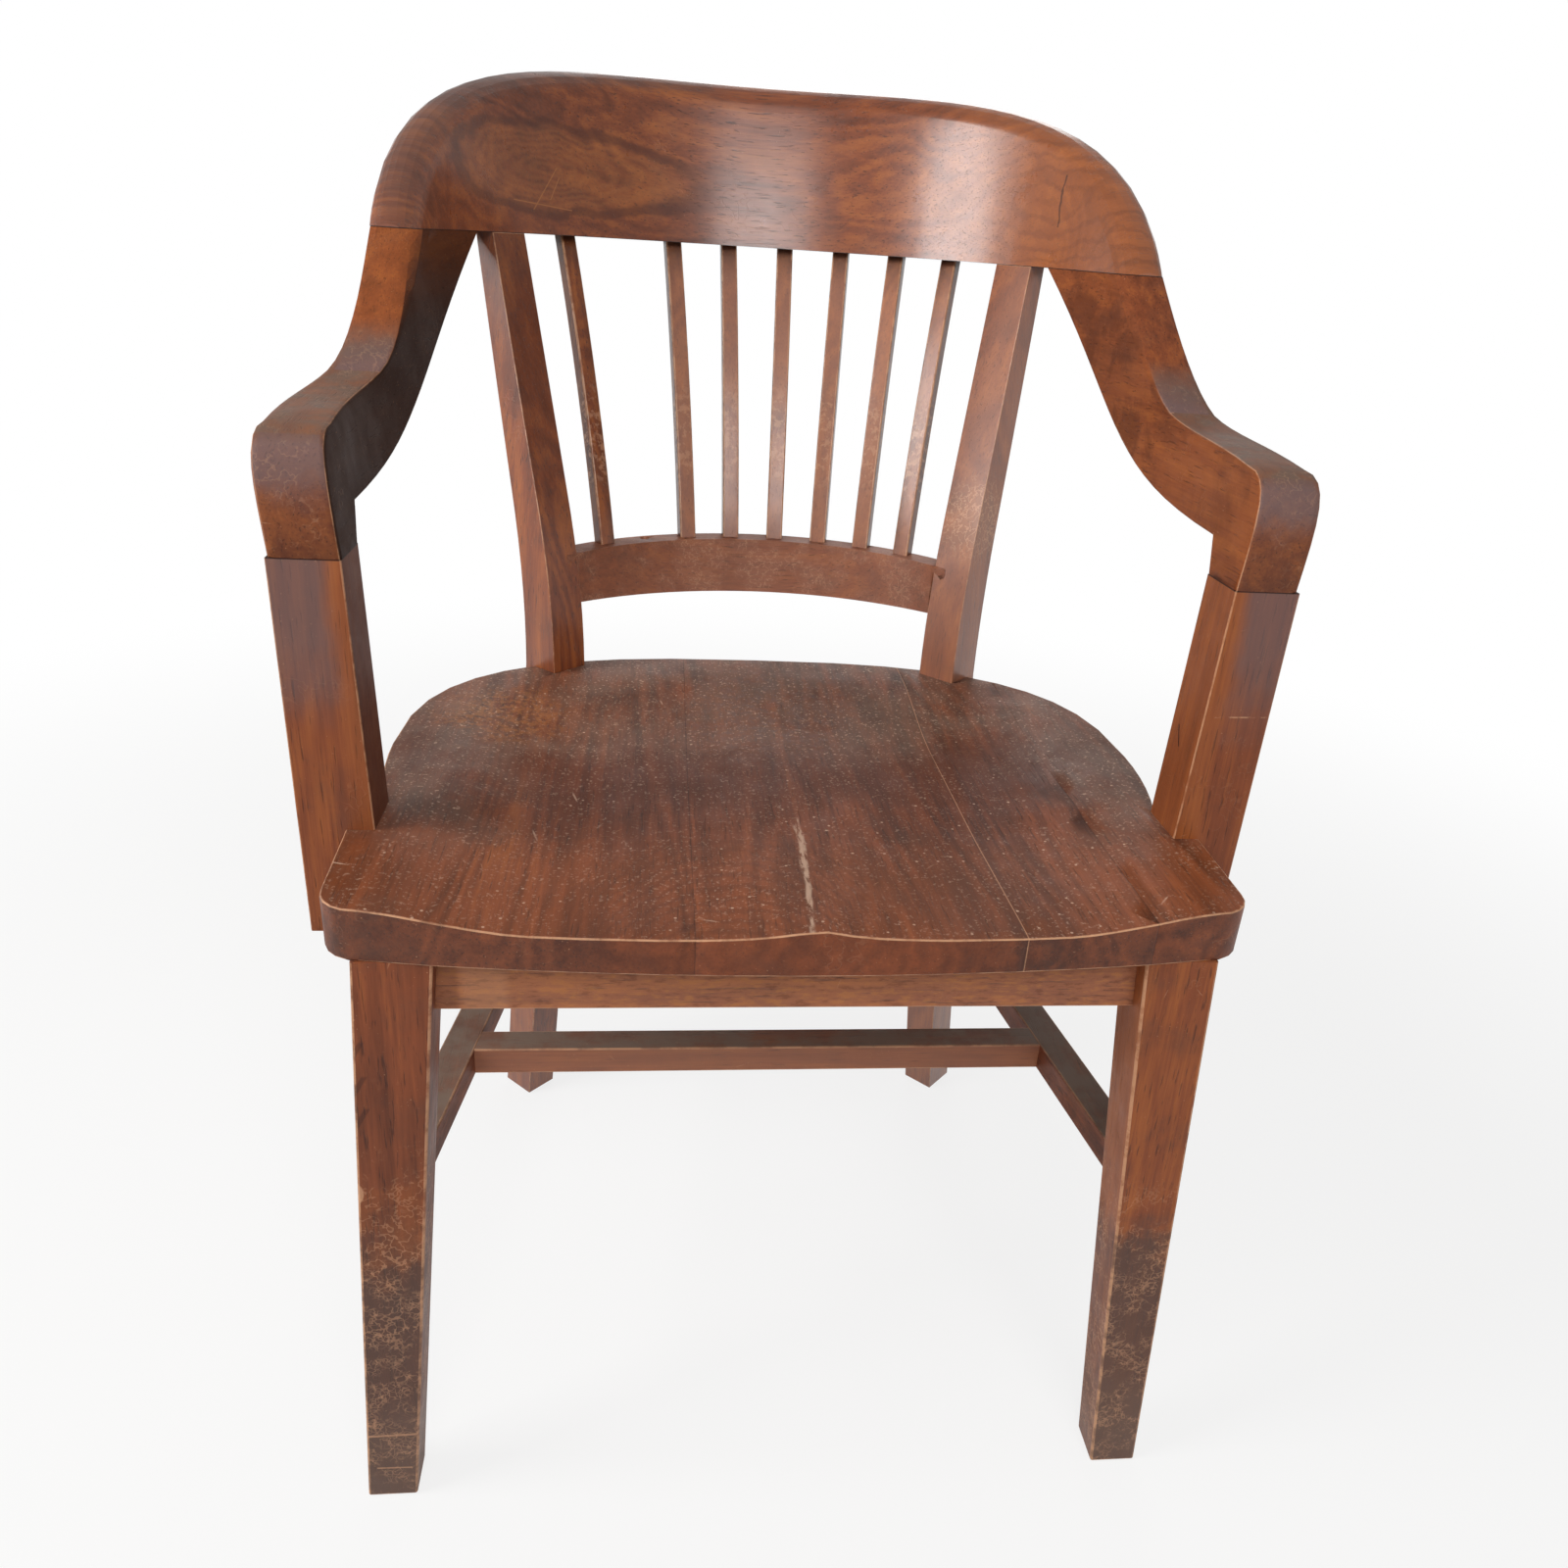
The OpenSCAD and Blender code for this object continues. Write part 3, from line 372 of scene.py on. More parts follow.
def crest_marks(s, colour):
    """An oval flame at the left, curved grain at the right end, a crack and crossing scratches."""
    wander = s.noise(s.place, 30, 3.0, 0.6) - 0.5
    left = 1 - s.x.between(-70 * MM, -20 * MM)
    right_end = s.x.between(120 * MM, 215 * MM)
    inner_face = s.faces_front(0.0, 0.2)

    # The flame's rings lie round its middle, pressed into an oval that is longer along the rail
    flame_x, flame_y, flame_z = -179 * MM, 211 * MM, 818 * MM
    across = (s.y - flame_y + (s.x - flame_x) * 0.15) * 0.36
    above = s.z - flame_z
    flame = (across * across + above * above).root() + wander * 0.014
    inside = (1 - flame.between(27 * MM, 33 * MM)) * left
    outline = flame.within(31 * MM, 34 * MM, 3 * MM) * left
    rings = (flame * 1500.0).wave()
    colour = s.mix(inside * (0.07 + rings * 0.14), colour, GOLDEN)
    colour = s.mix(outline * 0.55, colour, DARK_STAIN_AND_PAINTED_SHADE)

    colour = s.mix(right_end * 0.45, colour, ORANGE_STAIN_AND_PAINTED_LIGHT)
    curved = (flame * 620.0 + wander * 5.0).wave().between(0.60, 0.95)
    colour = s.mix(curved * right_end * 0.22, colour, DARK_STAIN_AND_PAINTED_SHADE)
    rolled = s.facing_up.between(0.45, 0.8)
    colour = s.mix(rolled * left * 0.45, colour, SMOKE)

    crack = stroke(s.z, s.x + wander * 0.006, start=800 * MM, end=837 * MM,
                   offset=227 * MM, slope=0.145, width=0.6 * MM)
    colour = s.mix(crack * inner_face * 0.65, colour, PORE)
    cuts = stroke(s.z, s.x, start=788 * MM, end=819 * MM, offset=-186 * MM, slope=0.52, width=0.6 * MM)
    cuts = cuts + stroke(s.z, s.x, start=796 * MM, end=812 * MM,
                         offset=-174 * MM, slope=0.38, width=0.5 * MM)
    cuts = cuts + stroke(s.x, s.z, start=-200 * MM, end=-158 * MM,
                         offset=794 * MM, slope=-0.12, width=0.5 * MM)
    colour = s.mix(cuts.clamped() * inner_face * 0.55, colour, GOLDEN)
    return joint_line(s, colour, crest_joint)


def arm_marks(side):
    """Worn grey on the flat top, a painted blue-grey sheen and varnish dulled by smoke on the front block,
    and an inner face darker on the left, with stain and painted shade, and more orange on the right, with
    painted light.
    """
    def marks(s, colour):
        inner = (s.facing_right * -side).between(0.50, 0.85)
        front_face = s.faces_front(0.45, 0.80)
        speckle = s.noise(s.place, 48, 5.0, 0.7)
        below_neck = 1 - s.z.between(arm_joint + 92 * MM, arm_joint + 112 * MM)

        flat = s.facing_up.between(0.50, 0.85) * below_neck
        colour = s.mix(flat * (0.60 + speckle.between(0.38, 0.62) * 0.4), colour, GREY_WORN)
        # A painted blue-grey sheen in a band across the front face of the block, and smoke on the rest of
        # that face.
        height = s.z + (speckle - 0.5) * 0.03
        painted_sheen = front_face * height.between(arm_joint + 22 * MM, arm_joint + 48 * MM) * below_neck
        colour = s.mix(painted_sheen * 0.75, colour, BLUE_SMOKE_AND_PAINTED_SHEEN)
        colour = s.mix(front_face * (1 - painted_sheen) * below_neck * 0.35, colour, SMOKE)

        if side < 0:
            colour = s.mix((1 - below_neck) * 0.20, colour, ORANGE_STAIN_AND_PAINTED_LIGHT)
            # The left inner face looks away from the lamps: dark stain with painted shade, a little less of
            # it near the crest rail.
            shaded = 0.95 - s.z.between(crest_joint - 60 * MM, crest_joint) * 0.30
            colour = s.mix(inner * shaded, colour, BLACK_STAIN_AND_PAINTED_SHADE)
        else:
            mottle = s.noise(s.place, 20, 5.0, 0.65, 0.6).between(0.46, 0.60)
            rear = s.y.between(arm_front + 130 * MM, arm_front + 190 * MM)
            # The right inner face looks towards the lamps and is made more orange: painted light.
            colour = s.mix(inner * 0.15, colour, ORANGE_STAIN_AND_PAINTED_LIGHT)
            colour = s.mix(inner * mottle * (0.25 + rear * 0.30), colour, DARK_STAIN_AND_PAINTED_SHADE)

        worn_corner = s.curls(130, 0.030, speckle.between(0.45, 0.60)) * below_neck * (1 - inner)
        colour = s.mix(worn_corner * 0.16, colour, WORN)
        colour = joint_line(s, colour, crest_joint)
        return joint_line(s, colour, arm_joint)
    return marks


def arm_post_marks(side):
    """A patch of blue-grey smoke under the arm, an orange inner edge, and an inner face painted dark as
    shade on the left and orange as light on the right.
    """
    def marks(s, colour):
        front_face = s.faces_front()
        inner = (s.facing_right * -side).between(0.5, 0.8)
        cloud = s.noise(s.place, 24, 4.0, 0.6)

        height = s.z + (cloud - 0.5) * 0.06
        high = height.between(arm_joint - 105 * MM, arm_joint - 40 * MM)
        from_edge = s.x * side - (arm_out - 47 * MM)
        middle = (from_edge + (cloud - 0.5) * 0.012).between(1 * MM, 15 * MM)
        colour = s.mix(front_face * high * middle * 0.60, colour, BLUE_SMOKE_AND_PAINTED_SHEEN)
        colour = s.mix(front_face * (1 - middle) * 0.30, colour, ORANGE_STAIN_AND_PAINTED_LIGHT)

        # The inner faces follow the lamps: painted shade on the left one, which looks away from them, and
        # painted light on the right one, which looks towards them.
        if side < 0:
            colour = s.mix(inner * 0.70, colour, DARK_STAIN_AND_PAINTED_SHADE)
        else:
            colour = s.mix(inner * 0.25, colour, ORANGE_STAIN_AND_PAINTED_LIGHT)
            slash = stroke(s.z, s.y, start=500 * MM, end=512 * MM,
                           offset=-203 * MM, slope=0.5, width=1.0 * MM)
            colour = s.mix(slash * inner * 0.9, colour, PORE)
            level_cut = stroke(s.x, s.z, start=258 * MM, end=293 * MM,
                               offset=529 * MM, slope=0.02, width=0.6 * MM)
            broken = s.noise(s.place, 160, 3.0, 0.6).between(0.40, 0.60)
            colour = s.mix(level_cut * front_face * broken * 0.6, colour, WORN)
        return joint_line(s, colour, arm_joint)
    return marks


def back_post_marks(s, colour):
    """The left one darkens under the crest rail; the right one is rubbed bright halfway up."""
    left = 1 - s.x.between(-1 * MM, 1 * MM)
    colour = s.mix(left * s.z.between(600 * MM, 720 * MM) * 0.35, colour, DARK_STAIN_AND_PAINTED_SHADE)
    colour = s.mix((1 - left) * s.faces_front(0.4, 0.6) * 0.24, colour, PINK_WORN)
    rubbed_spot = (177 * MM, 83 * MM, 580 * MM)
    patch = 1 - s.distance(rubbed_spot).between(14 * MM, 46 * MM)
    colour = s.mix(s.curls(150, 0.035, patch) * 0.6, colour, WORN)
    colour = s.mix(patch * 0.20, colour, WORN)
    return joint_line(s, colour, crest_joint)


def rail_marks(s, colour):
    """Fine cross-hatched wear."""
    patch = s.noise(s.place, 28, 4.0, 0.6).between(0.42, 0.58)
    colour = s.mix(0.16 + patch * 0.08, colour, PINK_WORN)
    return s.mix(s.curls(170, 0.035, patch) * 0.30, colour, WORN)


def spindle_marks(s, colour):
    """Painted shade on the sides and a painted shadow at the top end under the crest rail, and bare
    glittering wear halfway up.
    """
    colour = s.mix(s.faces_front() * s.x.between(-110 * MM, -60 * MM) * 0.36, colour, PINK_WORN)
    # Painted shade on the side faces, and a painted shadow where the top end runs under the crest rail.
    colour = s.mix(s.facing_right.size().between(0.5, 0.8) * 0.60, colour, BLACK_STAIN_AND_PAINTED_SHADE)
    colour = s.mix(s.z.between(crest_joint - 36 * MM, crest_joint) * 0.55, colour, BLACK_STAIN_AND_PAINTED_SHADE)
    glitter = s.noise(s.place, 150, 3.0, 0.7).between(0.48, 0.62)
    rubbed = s.z.within(600 * MM, 640 * MM, 30 * MM) * glitter
    return s.mix(rubbed * 0.45, colour, WORN)


def seat_marks(s, colour):
    """Dust towards the back and the sides, a band of painted shadow, a rubbed streak on the pommel, glue
    lines.
    """
    top = s.facing_up.between(0.6, 0.85)
    cloud = s.noise(s.place, 13, 6.0, 0.68, 0.4)
    drift = (cloud - 0.5) * 0.12
    depth = s.depth + drift
    film = cloud.between(0.36, 0.60) * 0.6 + 0.25

    # Arched grain near the front, left of the pommel
    near_front = 1 - depth.between(70 * MM, 170 * MM)
    colour = s.mix(near_front * top * 0.12, colour, ORANGE_STAIN_AND_PAINTED_LIGHT)
    off_arch = s.x + 40 * MM
    arches = ((s.depth + off_arch * off_arch * 16.0) * 430.0 + cloud * 24.0).wave().between(0.45, 0.95)
    near_arch = 1 - off_arch.size().between(45 * MM, 110 * MM)
    colour = s.mix(arches * near_arch * near_front * top * 0.30, colour, DARK_STAIN_AND_PAINTED_SHADE)

    # A painted shadow in a band across the dish, and the dust behind it and beside it
    painted_shadow_band = depth.within(205 * MM, 250 * MM, 60 * MM) * top
    colour = s.mix(painted_shadow_band * 0.50, colour, DARK_STAIN_AND_PAINTED_SHADE)
    back = depth.between(225 * MM, 330 * MM)
    side = (s.x.size() + drift).between(150 * MM, 235 * MM) * depth.between(60 * MM, 200 * MM)
    dusty = (back + side).clamped()
    colour = s.mix(dusty * film * top * 0.44, colour, DUST)

    # A tan patch at the left, and a chalky one in the middle
    tan_spot = (-198 * MM, -30 * MM, seat_rim)
    tan = 1 - (s.distance(tan_spot) + drift).between(22 * MM, 60 * MM)
    colour = s.mix(tan * s.noise(s.place, 190, 4.0, 0.7).between(0.45, 0.58) * 0.34, colour, GOLDEN)
    chalky_spot = (5 * MM, 0.0, seat_rim)
    chalky = (1 - (s.distance(chalky_spot) + drift).between(25 * MM, 125 * MM)) * film
    chalk_grain = s.noise(s.place, 130, 5.0, 0.75).between(0.44, 0.60)
    colour = s.mix(chalky * chalk_grain * 0.55, colour, BLUE_SMOKE_AND_PAINTED_SHEEN)

    # Crumbs, nicks and powder
    crumbs = s.cells(s.place, 105.0, "F1")
    crumbs = (1 - crumbs.between(0.06, 0.12)) * s.noise(s.place, 16, 3.0).between(0.40, 0.54)
    nick_patch = s.noise(s.place, 21, 4.0, 0.6).between(0.42, 0.56)
    nicks = s.scratches(LEVEL, 17 * MM, 0.85 * MM, nick_patch)
    powder = s.noise(s.place, 430, 2.0, 0.6).between(0.58, 0.68) * (cloud.between(0.30, 0.55) + dusty * 0.5)
    colour = s.mix((crumbs * 0.80 + nicks * 0.60 + powder * 0.34).clamped() * top, colour, SCRATCH)

    # The rubbed streak on the pommel widens towards the back
    wander = (s.noise(s.place, 26, 2.0) - 0.5) * 0.008
    width = (s.depth * 8.0 + 0.5) * (1.0 * MM)
    off = (s.x - 4.5 * MM - s.depth * 0.04 + wander).size() - width
    ragged = s.noise(s.mapped(s.place, scale=(1, 0.2, 1)), 260, 4.0, 0.7).between(0.40, 0.58)
    streak = (1 - off.between(0.0, 1.8 * MM)) * s.depth.within(2 * MM, 152 * MM, 12 * MM) * top
    colour = s.mix(streak * ragged * 0.75, colour, SCRATCH)

    # The front edge is smoky at its ends and red in the middle, and its rim is worn
    edge = s.faces_front()
    middle = 1 - s.x.size().between(60 * MM, 150 * MM)
    colour = s.mix(edge * (0.22 - middle * 0.20), colour, SMOKE)
    colour = s.mix(edge * middle * 0.35, colour, RED_STAIN)
    rim = s.arris() * s.faces_front(0.20, 0.40) * s.facing_up.between(0.05, 0.25)
    colour = s.mix(rim * (0.15 + cloud.between(0.36, 0.60) * 0.5), colour, WORN)

    for line, share, tint in zip(glue_lines, (0.45, 0.55, 0.40), (PORE, WORN, PORE)):
        seam = 1 - (s.x - line).size().between(0.15 * MM, 0.50 * MM)
        colour = s.mix(seam * share, colour, tint)
    return colour


def left_leg_cuts(s, colour, front_face):
    """A crescent scar, two level cuts near the foot and three slanting dark ones higher up."""
    scar_x, scar_z, scar_radius = -260 * MM, 256 * MM, 9 * MM
    from_scar = (s.x - scar_x) * (s.x - scar_x) + (s.z - scar_z) * (s.z - scar_z)
    off_ring = (from_scar.root() - scar_radius).size()
    colour = s.mix((1 - off_ring.between(1.2 * MM, 2.2 * MM)) * front_face * 0.6, colour, WORN)
    cuts = stroke(s.x, s.z, start=-262 * MM, end=-232 * MM, offset=55.5 * MM, slope=0.02, width=1.2 * MM)
    cuts = cuts + stroke(s.x, s.z, start=-258 * MM, end=-236 * MM,
                         offset=26 * MM, slope=-0.02, width=0.8 * MM)
    colour = s.mix(cuts * front_face * 0.5, colour, WORN)
    for cut_z in (345 * MM, 322 * MM, 300 * MM):
        slash = stroke(s.z, s.x, start=cut_z, end=cut_z + 16 * MM,
                       offset=-252 * MM, slope=0.55, width=2.2 * MM)
        colour = s.mix(slash * front_face * 0.45, colour, PORE)
    return colour


def leg_marks(side):
    """The lower leg's varnish has gone dark and crazed, with curling pale scuffs."""
    start, fade = (165 * MM, 95 * MM) if side < 0 else (196 * MM, 30 * MM)

    def marks(s, colour):
        front_face = s.faces_front()
        side_face = s.facing_right.size().between(0.5, 0.8)
        cloud = s.noise(s.place, 30, 4.0, 0.65)
        height = s.z + (cloud - 0.5) * 0.07

        low = 1 - height.between(start, start + fade)
        colour = s.mix(low * (front_face * 0.82 + side_face * 0.35).clamped(), colour, SMOKE)
        foot = 1 - height.between(40 * MM, 95 * MM)
        colour = s.mix(foot * (0.30 + cloud * 0.2), colour, GREY_WORN)
        crazing = s.cells(s.wobbled(s.place, 90.0, 0.012), 230.0, "DISTANCE_TO_EDGE")
        crazing = (1 - crazing.between(0.0, 0.10)) * s.noise(s.place, 60, 3.0).between(0.44, 0.58)
        colour = s.mix(crazing * low * 0.30, colour, WORN)

        turn = height.within(start + fade * 0.4, start + fade + 10 * MM, 30 * MM)
        curling = s.curls(115, 0.034, cloud.between(0.42, 0.56)) * (low * 0.7 + turn * 0.6).clamped()
        colour = s.mix(curling * 0.42, colour, WORN)
        colour = s.mix(turn * front_face * cloud.between(0.44, 0.62) * 0.20, colour, ORANGE_STAIN_AND_PAINTED_LIGHT)

        if side < 0:
            return left_leg_cuts(s, colour, front_face)
        # The right leg's inner face looks towards the lamps and is made more orange: painted light.
        inner = (s.facing_right * -1.0).between(0.5, 0.8)
        return s.mix(inner * (1 - low) * 0.35, colour, ORANGE_STAIN_AND_PAINTED_LIGHT)
    return marks


def apron_marks(s, colour):
    """Short orange and dark flecks along the grain, a dark left end and a pale patch beside it."""
    flecks = s.noise(s.mapped(s.place, scale=(0.30, 1, 1)), 420.0, 3.0, 0.6)
    colour = s.mix(0.20, colour, PINK_WORN)
    colour = s.mix(flecks.between(0.50, 0.66) * 0.45, colour, GOLDEN)
    colour = s.mix((1 - flecks.between(0.34, 0.46)) * 0.35, colour, DARK_STAIN_AND_PAINTED_SHADE)
    end = 1 - s.x.between(-193 * MM, -189 * MM)
    pale = s.x.within(-184 * MM, -168 * MM, 8 * MM)
    colour = s.mix(end * 0.35, colour, DARK_STAIN_AND_PAINTED_SHADE)
    return s.mix(pale * 0.22, colour, WORN)


def stretcher_marks(s, colour):
    """Dust lies on the tops, and the fronts are rubbed."""
    film = s.noise(s.place, 30, 5.0, 0.65).between(0.30, 0.60) * 0.5 + 0.4
    colour = s.mix(s.faces_front() * 0.30, colour, PINK_WORN)
    return s.mix(s.facing_up.between(0.5, 0.8) * film, colour, DUST)


def bare_marks(s, colour):
    """Hidden blocks and dowels were never stained."""
    return s.mix(0.75, colour, BARE_WOOD)


def screw_steel():
    s = Shader("screw_steel")
    tarnish = s.noise(s.place, 300, 3.0)
    colour = s.mix(tarnish.between(0.4, 0.7), BRIGHT_STEEL, DULL_STEEL)
    return s.finish(colour, tarnish * 0.3 + 0.3, tarnish, STEEL_DEPTH, metallic=1.0)


# Each part's own wood: a shift of its own, so that no two parts show the same grain
ELBOW = 715 * MM
left_arm = wood("left_arm_wood", ALONG_Y, 0.54, arm_marks(-1), dull=0.55, plane=LEVEL, specular=0.12,
                shift=2.0, worn_to=ELBOW)
right_arm = wood("right_arm_wood", ALONG_Y, 0.56, arm_marks(1), dull=0.50, plane=LEVEL, specular=0.2,
                 shift=3.0, worn_to=ELBOW)
left_post = wood("left_arm_post_wood", ALONG_Z, 0.52, arm_post_marks(-1), dull=0.50, shift=4.0)
right_post = wood("right_arm_post_wood", ALONG_Z, 0.58, arm_post_marks(1), dull=0.50, shift=4.5)
left_leg = wood("left_leg_wood", ALONG_Z, 0.46, leg_marks(-1), wear=0.7, dull=0.52, shift=9.0)
right_leg = wood("right_leg_wood", ALONG_Z, 0.62, leg_marks(1), wear=0.7, dull=0.52, shift=9.5)
crest = wood("crest_wood", ALONG_X, 0.50, crest_marks, figure=0.9, wear=0.35, dull=0.34, grime=0.22,
             coat=0.85, specular=0.4, shift=1.0)
back_post = wood("back_post_wood", ALONG_Z, 0.58, back_post_marks, figure=1.0, dull=0.37, grime=0.30,
                 coat=0.65, shift=5.0)
rail = wood("rail_wood", ALONG_X, 0.40, rail_marks, wear=0.7, dull=0.50, shift=6.0)
spindle = wood("spindle_wood", ALONG_Z, 0.64, spindle_marks, figure=1.0, wear=0.7, dull=0.37,
               coat=0.65, shift=7.0)
seat = wood("seat_wood", ALONG_Y, 0.25, seat_marks, figure=0.9, wear=0.7, dull=0.50, grime=0.45,
            plane=LEVEL, shift=8.0)
apron = wood("front_apron_wood", ALONG_X, 0.80, apron_marks, wear=0.4, dull=0.50, grime=0.2, shift=10.0)
stretcher = wood("stretcher_wood", ALONG_Y, 0.30, stretcher_marks, dull=0.58, grime=0.5, plane=LEVEL,
                 shift=11.0)
cross = wood("cross_stretcher_wood", ALONG_X, 0.66, stretcher_marks, wear=0.7, dull=0.55, shift=12.0)
bare = wood("bare_block_wood", ALONG_Y, 0.60, bare_marks, wear=0.2, dull=0.65, shift=13.0)
steel = screw_steel()

# Each copy of a wooden part but the crest rail gets soft arrises, except where it meets another part
ARRIS_ANGLE = math.radians(32)
CREASE_ANGLE = math.radians(40)
SMOOTH = math.cos(math.radians(26))
BORE_EDGE = 1.3 * MM
TOUCH = 0.35 * MM
NORMAL_REACH = 11 * MM
SLIVER = 0.01 * MM
FINE_WELD = 0.05 * MM
WIDE_WELD = 0.5 * MM
BIG_FACES_FIRST = 60

# A corner is brought flush from this near, if it stands this far out, and lands this close
FLUSH_REACH = 2 * MM
FLUSH_STEP = 0.1 * MM
FLUSH_GAP = 0.05 * MM
LOOKS_FORWARD = -0.4


def solid_tree(node):
    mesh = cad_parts[node].data
    return BVHTree.FromPolygons([v.co for v in mesh.vertices], [p.vertices for p in mesh.polygons])


trees = {node: solid_tree(node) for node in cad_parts}


def meets_another(node, edge):
    """True where the middle of an edge lies on another part, so that it stays crisp."""
    middle = (edge.verts[0].co + edge.verts[1].co) / 2
    return any(tree.find_nearest(middle, TOUCH)[0] for other, tree in trees.items() if other != node)


def set_flush(mesh, neighbour):
    """Brings corners that stand out a hair from a neighbour's front down onto it."""
    for vertex in mesh.verts:
        spot, normal, _, _ = trees[neighbour].find_nearest(vertex.co, FLUSH_REACH)
        if spot and normal.y < LOOKS_FORWARD and (vertex.co - spot).dot(normal) > FLUSH_STEP:
            vertex.co = spot + normal * FLUSH_GAP


def round_arrises(mesh, node, rounding, clamp):
    """Rounds the sharp edges that are no bore's and meet no other part, and marks the new faces."""
    arris = mesh.faces.layers.float["arris"]
    sharp = [edge for edge in mesh.edges
             if edge.is_manifold and edge.calc_face_angle() > ARRIS_ANGLE
             and edge.calc_length() > BORE_EDGE and not meets_another(node, edge)]
    rounded = bmesh.ops.bevel(mesh, geom=sharp, offset=rounding, affect="EDGES", segments=3, profile=0.5,
                              material=-1, clamp_overlap=clamp, miter_outer="ARC")
    for face in rounded["faces"]:
        face[arris] = 1.0


def write_facing(mesh):
    """Writes on each corner which way the surface faces there, averaged over smooth neighbours."""
    facing = mesh.loops.layers.float_vector["facing"]
    for vertex in mesh.verts:
        for loop in vertex.link_loops:
            normal = loop.face.normal
            total = Vector()
            for face in vertex.link_faces:
                if face.normal.dot(normal) > SMOOTH:
                    total += face.normal
            loop[facing] = total.normalized() if total.length else normal


def even_normals(mesh, reach):
    """Shading normals averaged over the smooth surface within reach, so that no facets show."""
    corners = KDTree(len(mesh.vertices))
    faces_at = [[] for _ in mesh.vertices]
    for vertex in mesh.vertices:
        corners.insert(vertex.co, vertex.index)
    corners.balance()
    for face in mesh.polygons:
        for vertex in face.vertices:
            faces_at[vertex].append((face.normal.copy(), face.area))
    near = [[pair for _, other, _ in corners.find_range(vertex.co, reach) for pair in faces_at[other]]
            for vertex in mesh.vertices]
    normals = []
    for face in mesh.polygons:
        for vertex in face.vertices:
            total = Vector()
            for normal, area in near[vertex]:
                if normal.dot(face.normal) > SMOOTH:
                    total += normal * area
            normals.append(total.normalized() if total.length else face.normal)
    mesh.normals_split_custom_set(normals)


def dress(node, material, rounding, weld=FINE_WELD, flat=0.6, clamp=True, flush_with=()):
    """A copy of a part in its place, its arrises rounded if asked and marked for the worn colour."""
    mesh = bmesh.new()
    mesh.from_mesh(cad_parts[node].data)
    mesh.faces.layers.float.new("arris")
    mesh.loops.layers.float_vector.new("facing")
    bmesh.ops.remove_doubles(mesh, verts=mesh.verts, dist=weld)
    bmesh.ops.dissolve_degenerate(mesh, dist=SLIVER, edges=mesh.edges)
    for neighbour in flush_with:
        set_flush(mesh, neighbour)
    bmesh.ops.dissolve_limit(mesh, angle_limit=math.radians(flat), verts=mesh.verts, edges=mesh.edges,
                             delimit={"NORMAL"}, use_dissolve_boundaries=False)
    if rounding:
        round_arrises(mesh, node, rounding, clamp)
    bmesh.ops.triangulate(mesh, faces=[face for face in mesh.faces if len(face.verts) > 4])
    for face in mesh.faces:
        face.smooth = True
    mesh.normal_update()
    write_facing(mesh)

    copy = bpy.data.meshes.new(node + "_dressed")
    mesh.to_mesh(copy)
    mesh.free()
    copy.set_sharp_from_angle(angle=CREASE_ANGLE)
    copy.materials.append(material)
    piece = bpy.data.objects.new(node + "_dressed", copy)
    bpy.context.scene.collection.objects.link(piece)
    if rounding:
        normals = piece.modifiers.new("normals", "WEIGHTED_NORMAL")
        normals.keep_sharp = True
        normals.weight = BIG_FACES_FIRST
    else:
        even_normals(copy, NORMAL_REACH)
    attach(piece, "root")
    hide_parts(node)


side_woods = {"left": (left_arm, left_post, left_leg), "right": (right_arm, right_post, right_leg)}
# The second place from the left has no spindle
spindle_places = (1, 3, 4, 5, 6, 7, 8)

dress("crest_rail", crest, None, flat=0.1)
for side, (arm, arm_post, leg) in side_woods.items():
    dress(f"arm_{side}", arm, 1.3 * MM)
    dress(f"arm_post_{side}", arm_post, 1.2 * MM)
    dress(f"back_post_{side}", back_post, 1.3 * MM, weld=WIDE_WELD)
    dress(f"front_leg_{side}", leg, 1.6 * MM)
    dress(f"side_stretcher_{side}", stretcher, 1.2 * MM)
dress("lower_back_rail", rail, 1.2 * MM, weld=WIDE_WELD,
      flush_with=("back_post_left", "back_post_right"))
for place in spindle_places:
    dress(f"spindle_{place}", spindle, 1.4 * MM)
for board in (1, 2, 3, 4):
    dress(f"seat_board_{board}", seat, 0.9 * MM, weld=WIDE_WELD, clamp=False)
dress("front_apron", apron, 1.0 * MM)
dress("cross_stretcher", cross, 1.2 * MM)


def finish_node(node, material):
    """Gives a hidden part, which keeps its own mesh, its material."""
    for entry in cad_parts[node].material_slots:
        entry.material = material


for node in ("rear_apron", "side_apron_left", "side_apron_right"):
    finish_node(node, stretcher)
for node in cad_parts:
    if node.endswith("screws"):
        finish_node(node, steel)
    elif node.startswith("corner_block_") or node.endswith("dowels"):
        finish_node(node, bare)

# Floor, a low round backdrop far off, world and lamps
STAGE_RADIUS = 30.0
STAGE_HEIGHT = 9.6
FLOOR_MARGIN = 10.0
FLOOR_DROP = 0.4 * MM
BACKDROP_DROP = 0.1
SHADOW_NEAR = 0.7
SHADOW_FAR = 1.9
PAINT_ROUGHNESS = 0.8
SKY_LEVEL = 0.30
CEILING_RISE = 0.27
CEILING_FADE = 0.02


def pale_paint(name, white_share):
    """Pale matt paint that takes the shadow near the chair and is seen as white farther off."""
    s = Shader(name)
    s.finish(PALE_PAINT, PAINT_ROUGHNESS, None, 0.0)
    glow = s.node("ShaderNodeEmission", {}, {"Color": WHITE, "Strength": 1.0})[0]
    away = (s.x * s.x + s.y * s.y).root().between(SHADOW_NEAR, SHADOW_FAR)
    straight, mirrored = s.seen()
    share = (straight + mirrored).clamped() * (away * (1 - white_share) + white_share)
    blend = s.node("ShaderNodeMixShader", {}, {0: share, 1: s.bsdf.outputs[0], 2: glow})[0]
    s.set(s.tree.nodes["Material Output"].inputs["Surface"], blend)
    return s.material


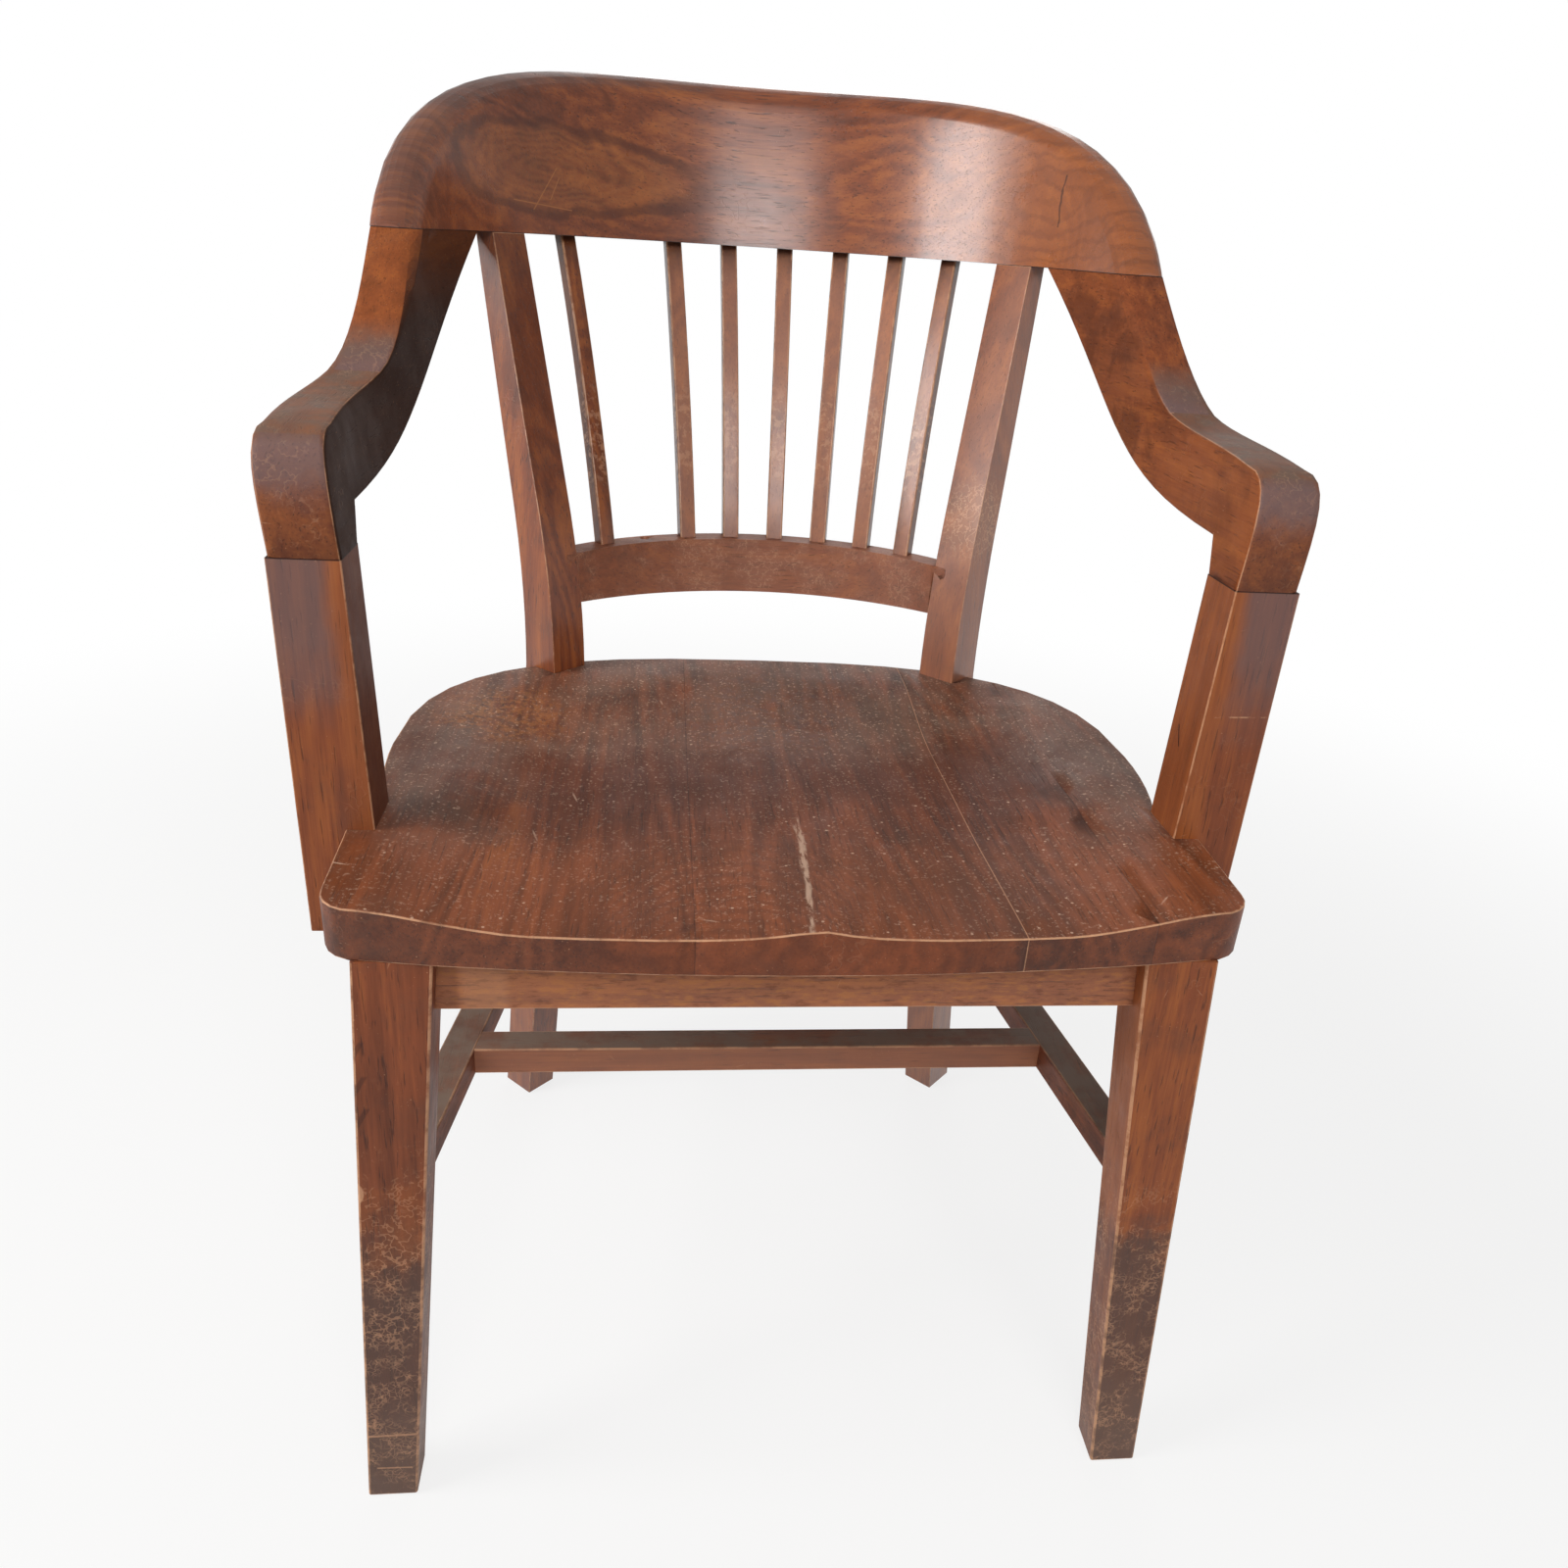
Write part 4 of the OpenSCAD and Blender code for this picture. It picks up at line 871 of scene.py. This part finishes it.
def staged(name, mesh, material):
    """Makes the floor or the backdrop, which aren't part of the chair."""
    data = bpy.data.meshes.new(name)
    mesh.to_mesh(data)
    mesh.free()
    data.materials.append(material)
    made = bpy.data.objects.new(name, data)
    bpy.context.scene.collection.objects.link(made)


floor_mesh = bmesh.new()
bmesh.ops.create_grid(floor_mesh, x_segments=1, y_segments=1, size=STAGE_RADIUS + FLOOR_MARGIN)
bmesh.ops.translate(floor_mesh, verts=floor_mesh.verts, vec=(0, 0, -FLOOR_DROP))
staged("floor", floor_mesh, pale_paint("floor_paint", 0.80))

backdrop_mesh = bmesh.new()
bmesh.ops.create_cone(backdrop_mesh, cap_ends=False, segments=96, radius1=STAGE_RADIUS,
                      radius2=STAGE_RADIUS, depth=STAGE_HEIGHT + 2 * BACKDROP_DROP)
bmesh.ops.translate(backdrop_mesh, verts=backdrop_mesh.verts, vec=(0, 0, STAGE_HEIGHT / 2 - BACKDROP_DROP))
bmesh.ops.reverse_faces(backdrop_mesh, faces=backdrop_mesh.faces)
staged("backdrop", backdrop_mesh, pale_paint("backdrop_paint", 1.0))

world = bpy.data.worlds.new("world")
bpy.context.scene.world = world
world.use_nodes = True
sky = Nodes(world.node_tree)
sky_light = sky.tree.nodes["Background"].inputs
sky_light["Color"].default_value = (*WHITE, 1)
# White in a gloss too, up to the backdrop's top edge, and above it a dim ceiling
straight, mirrored = sky.seen()
rise = sky.split(sky.node("ShaderNodeTexCoord", {}, {})["Generated"])[2]
low_sky = 1 - rise.between(CEILING_RISE, CEILING_RISE + CEILING_FADE)
white = (straight + mirrored * low_sky).clamped()
sky.set(sky_light["Strength"], white * (1 - SKY_LEVEL) + SKY_LEVEL)

CHAIR_MIDDLE = Vector((0, 0, 0.60))


def lamp(name, place, size, watts):
    """A soft window-like lamp, aimed at the chair and itself unseen."""
    data = bpy.data.lights.new(name, "AREA")
    data.shape = "RECTANGLE"
    data.size, data.size_y = size
    data.energy = watts
    light = bpy.data.objects.new(name, data)
    bpy.context.scene.collection.objects.link(light)
    light.location = place
    light.rotation_euler = (CHAIR_MIDDLE - Vector(place)).to_track_quat("-Z", "Y").to_euler()
    light.visible_camera = False


lamp("left_window", place=(-2.05, -0.60, 1.80), size=(1.0, 1.3), watts=41)
lamp("front_window", place=(0.15, -2.10, 2.05), size=(1.3, 1.0), watts=28)
lamp("back_light", place=(0.4, 2.4, 2.0), size=(1.4, 1.0), watts=9)
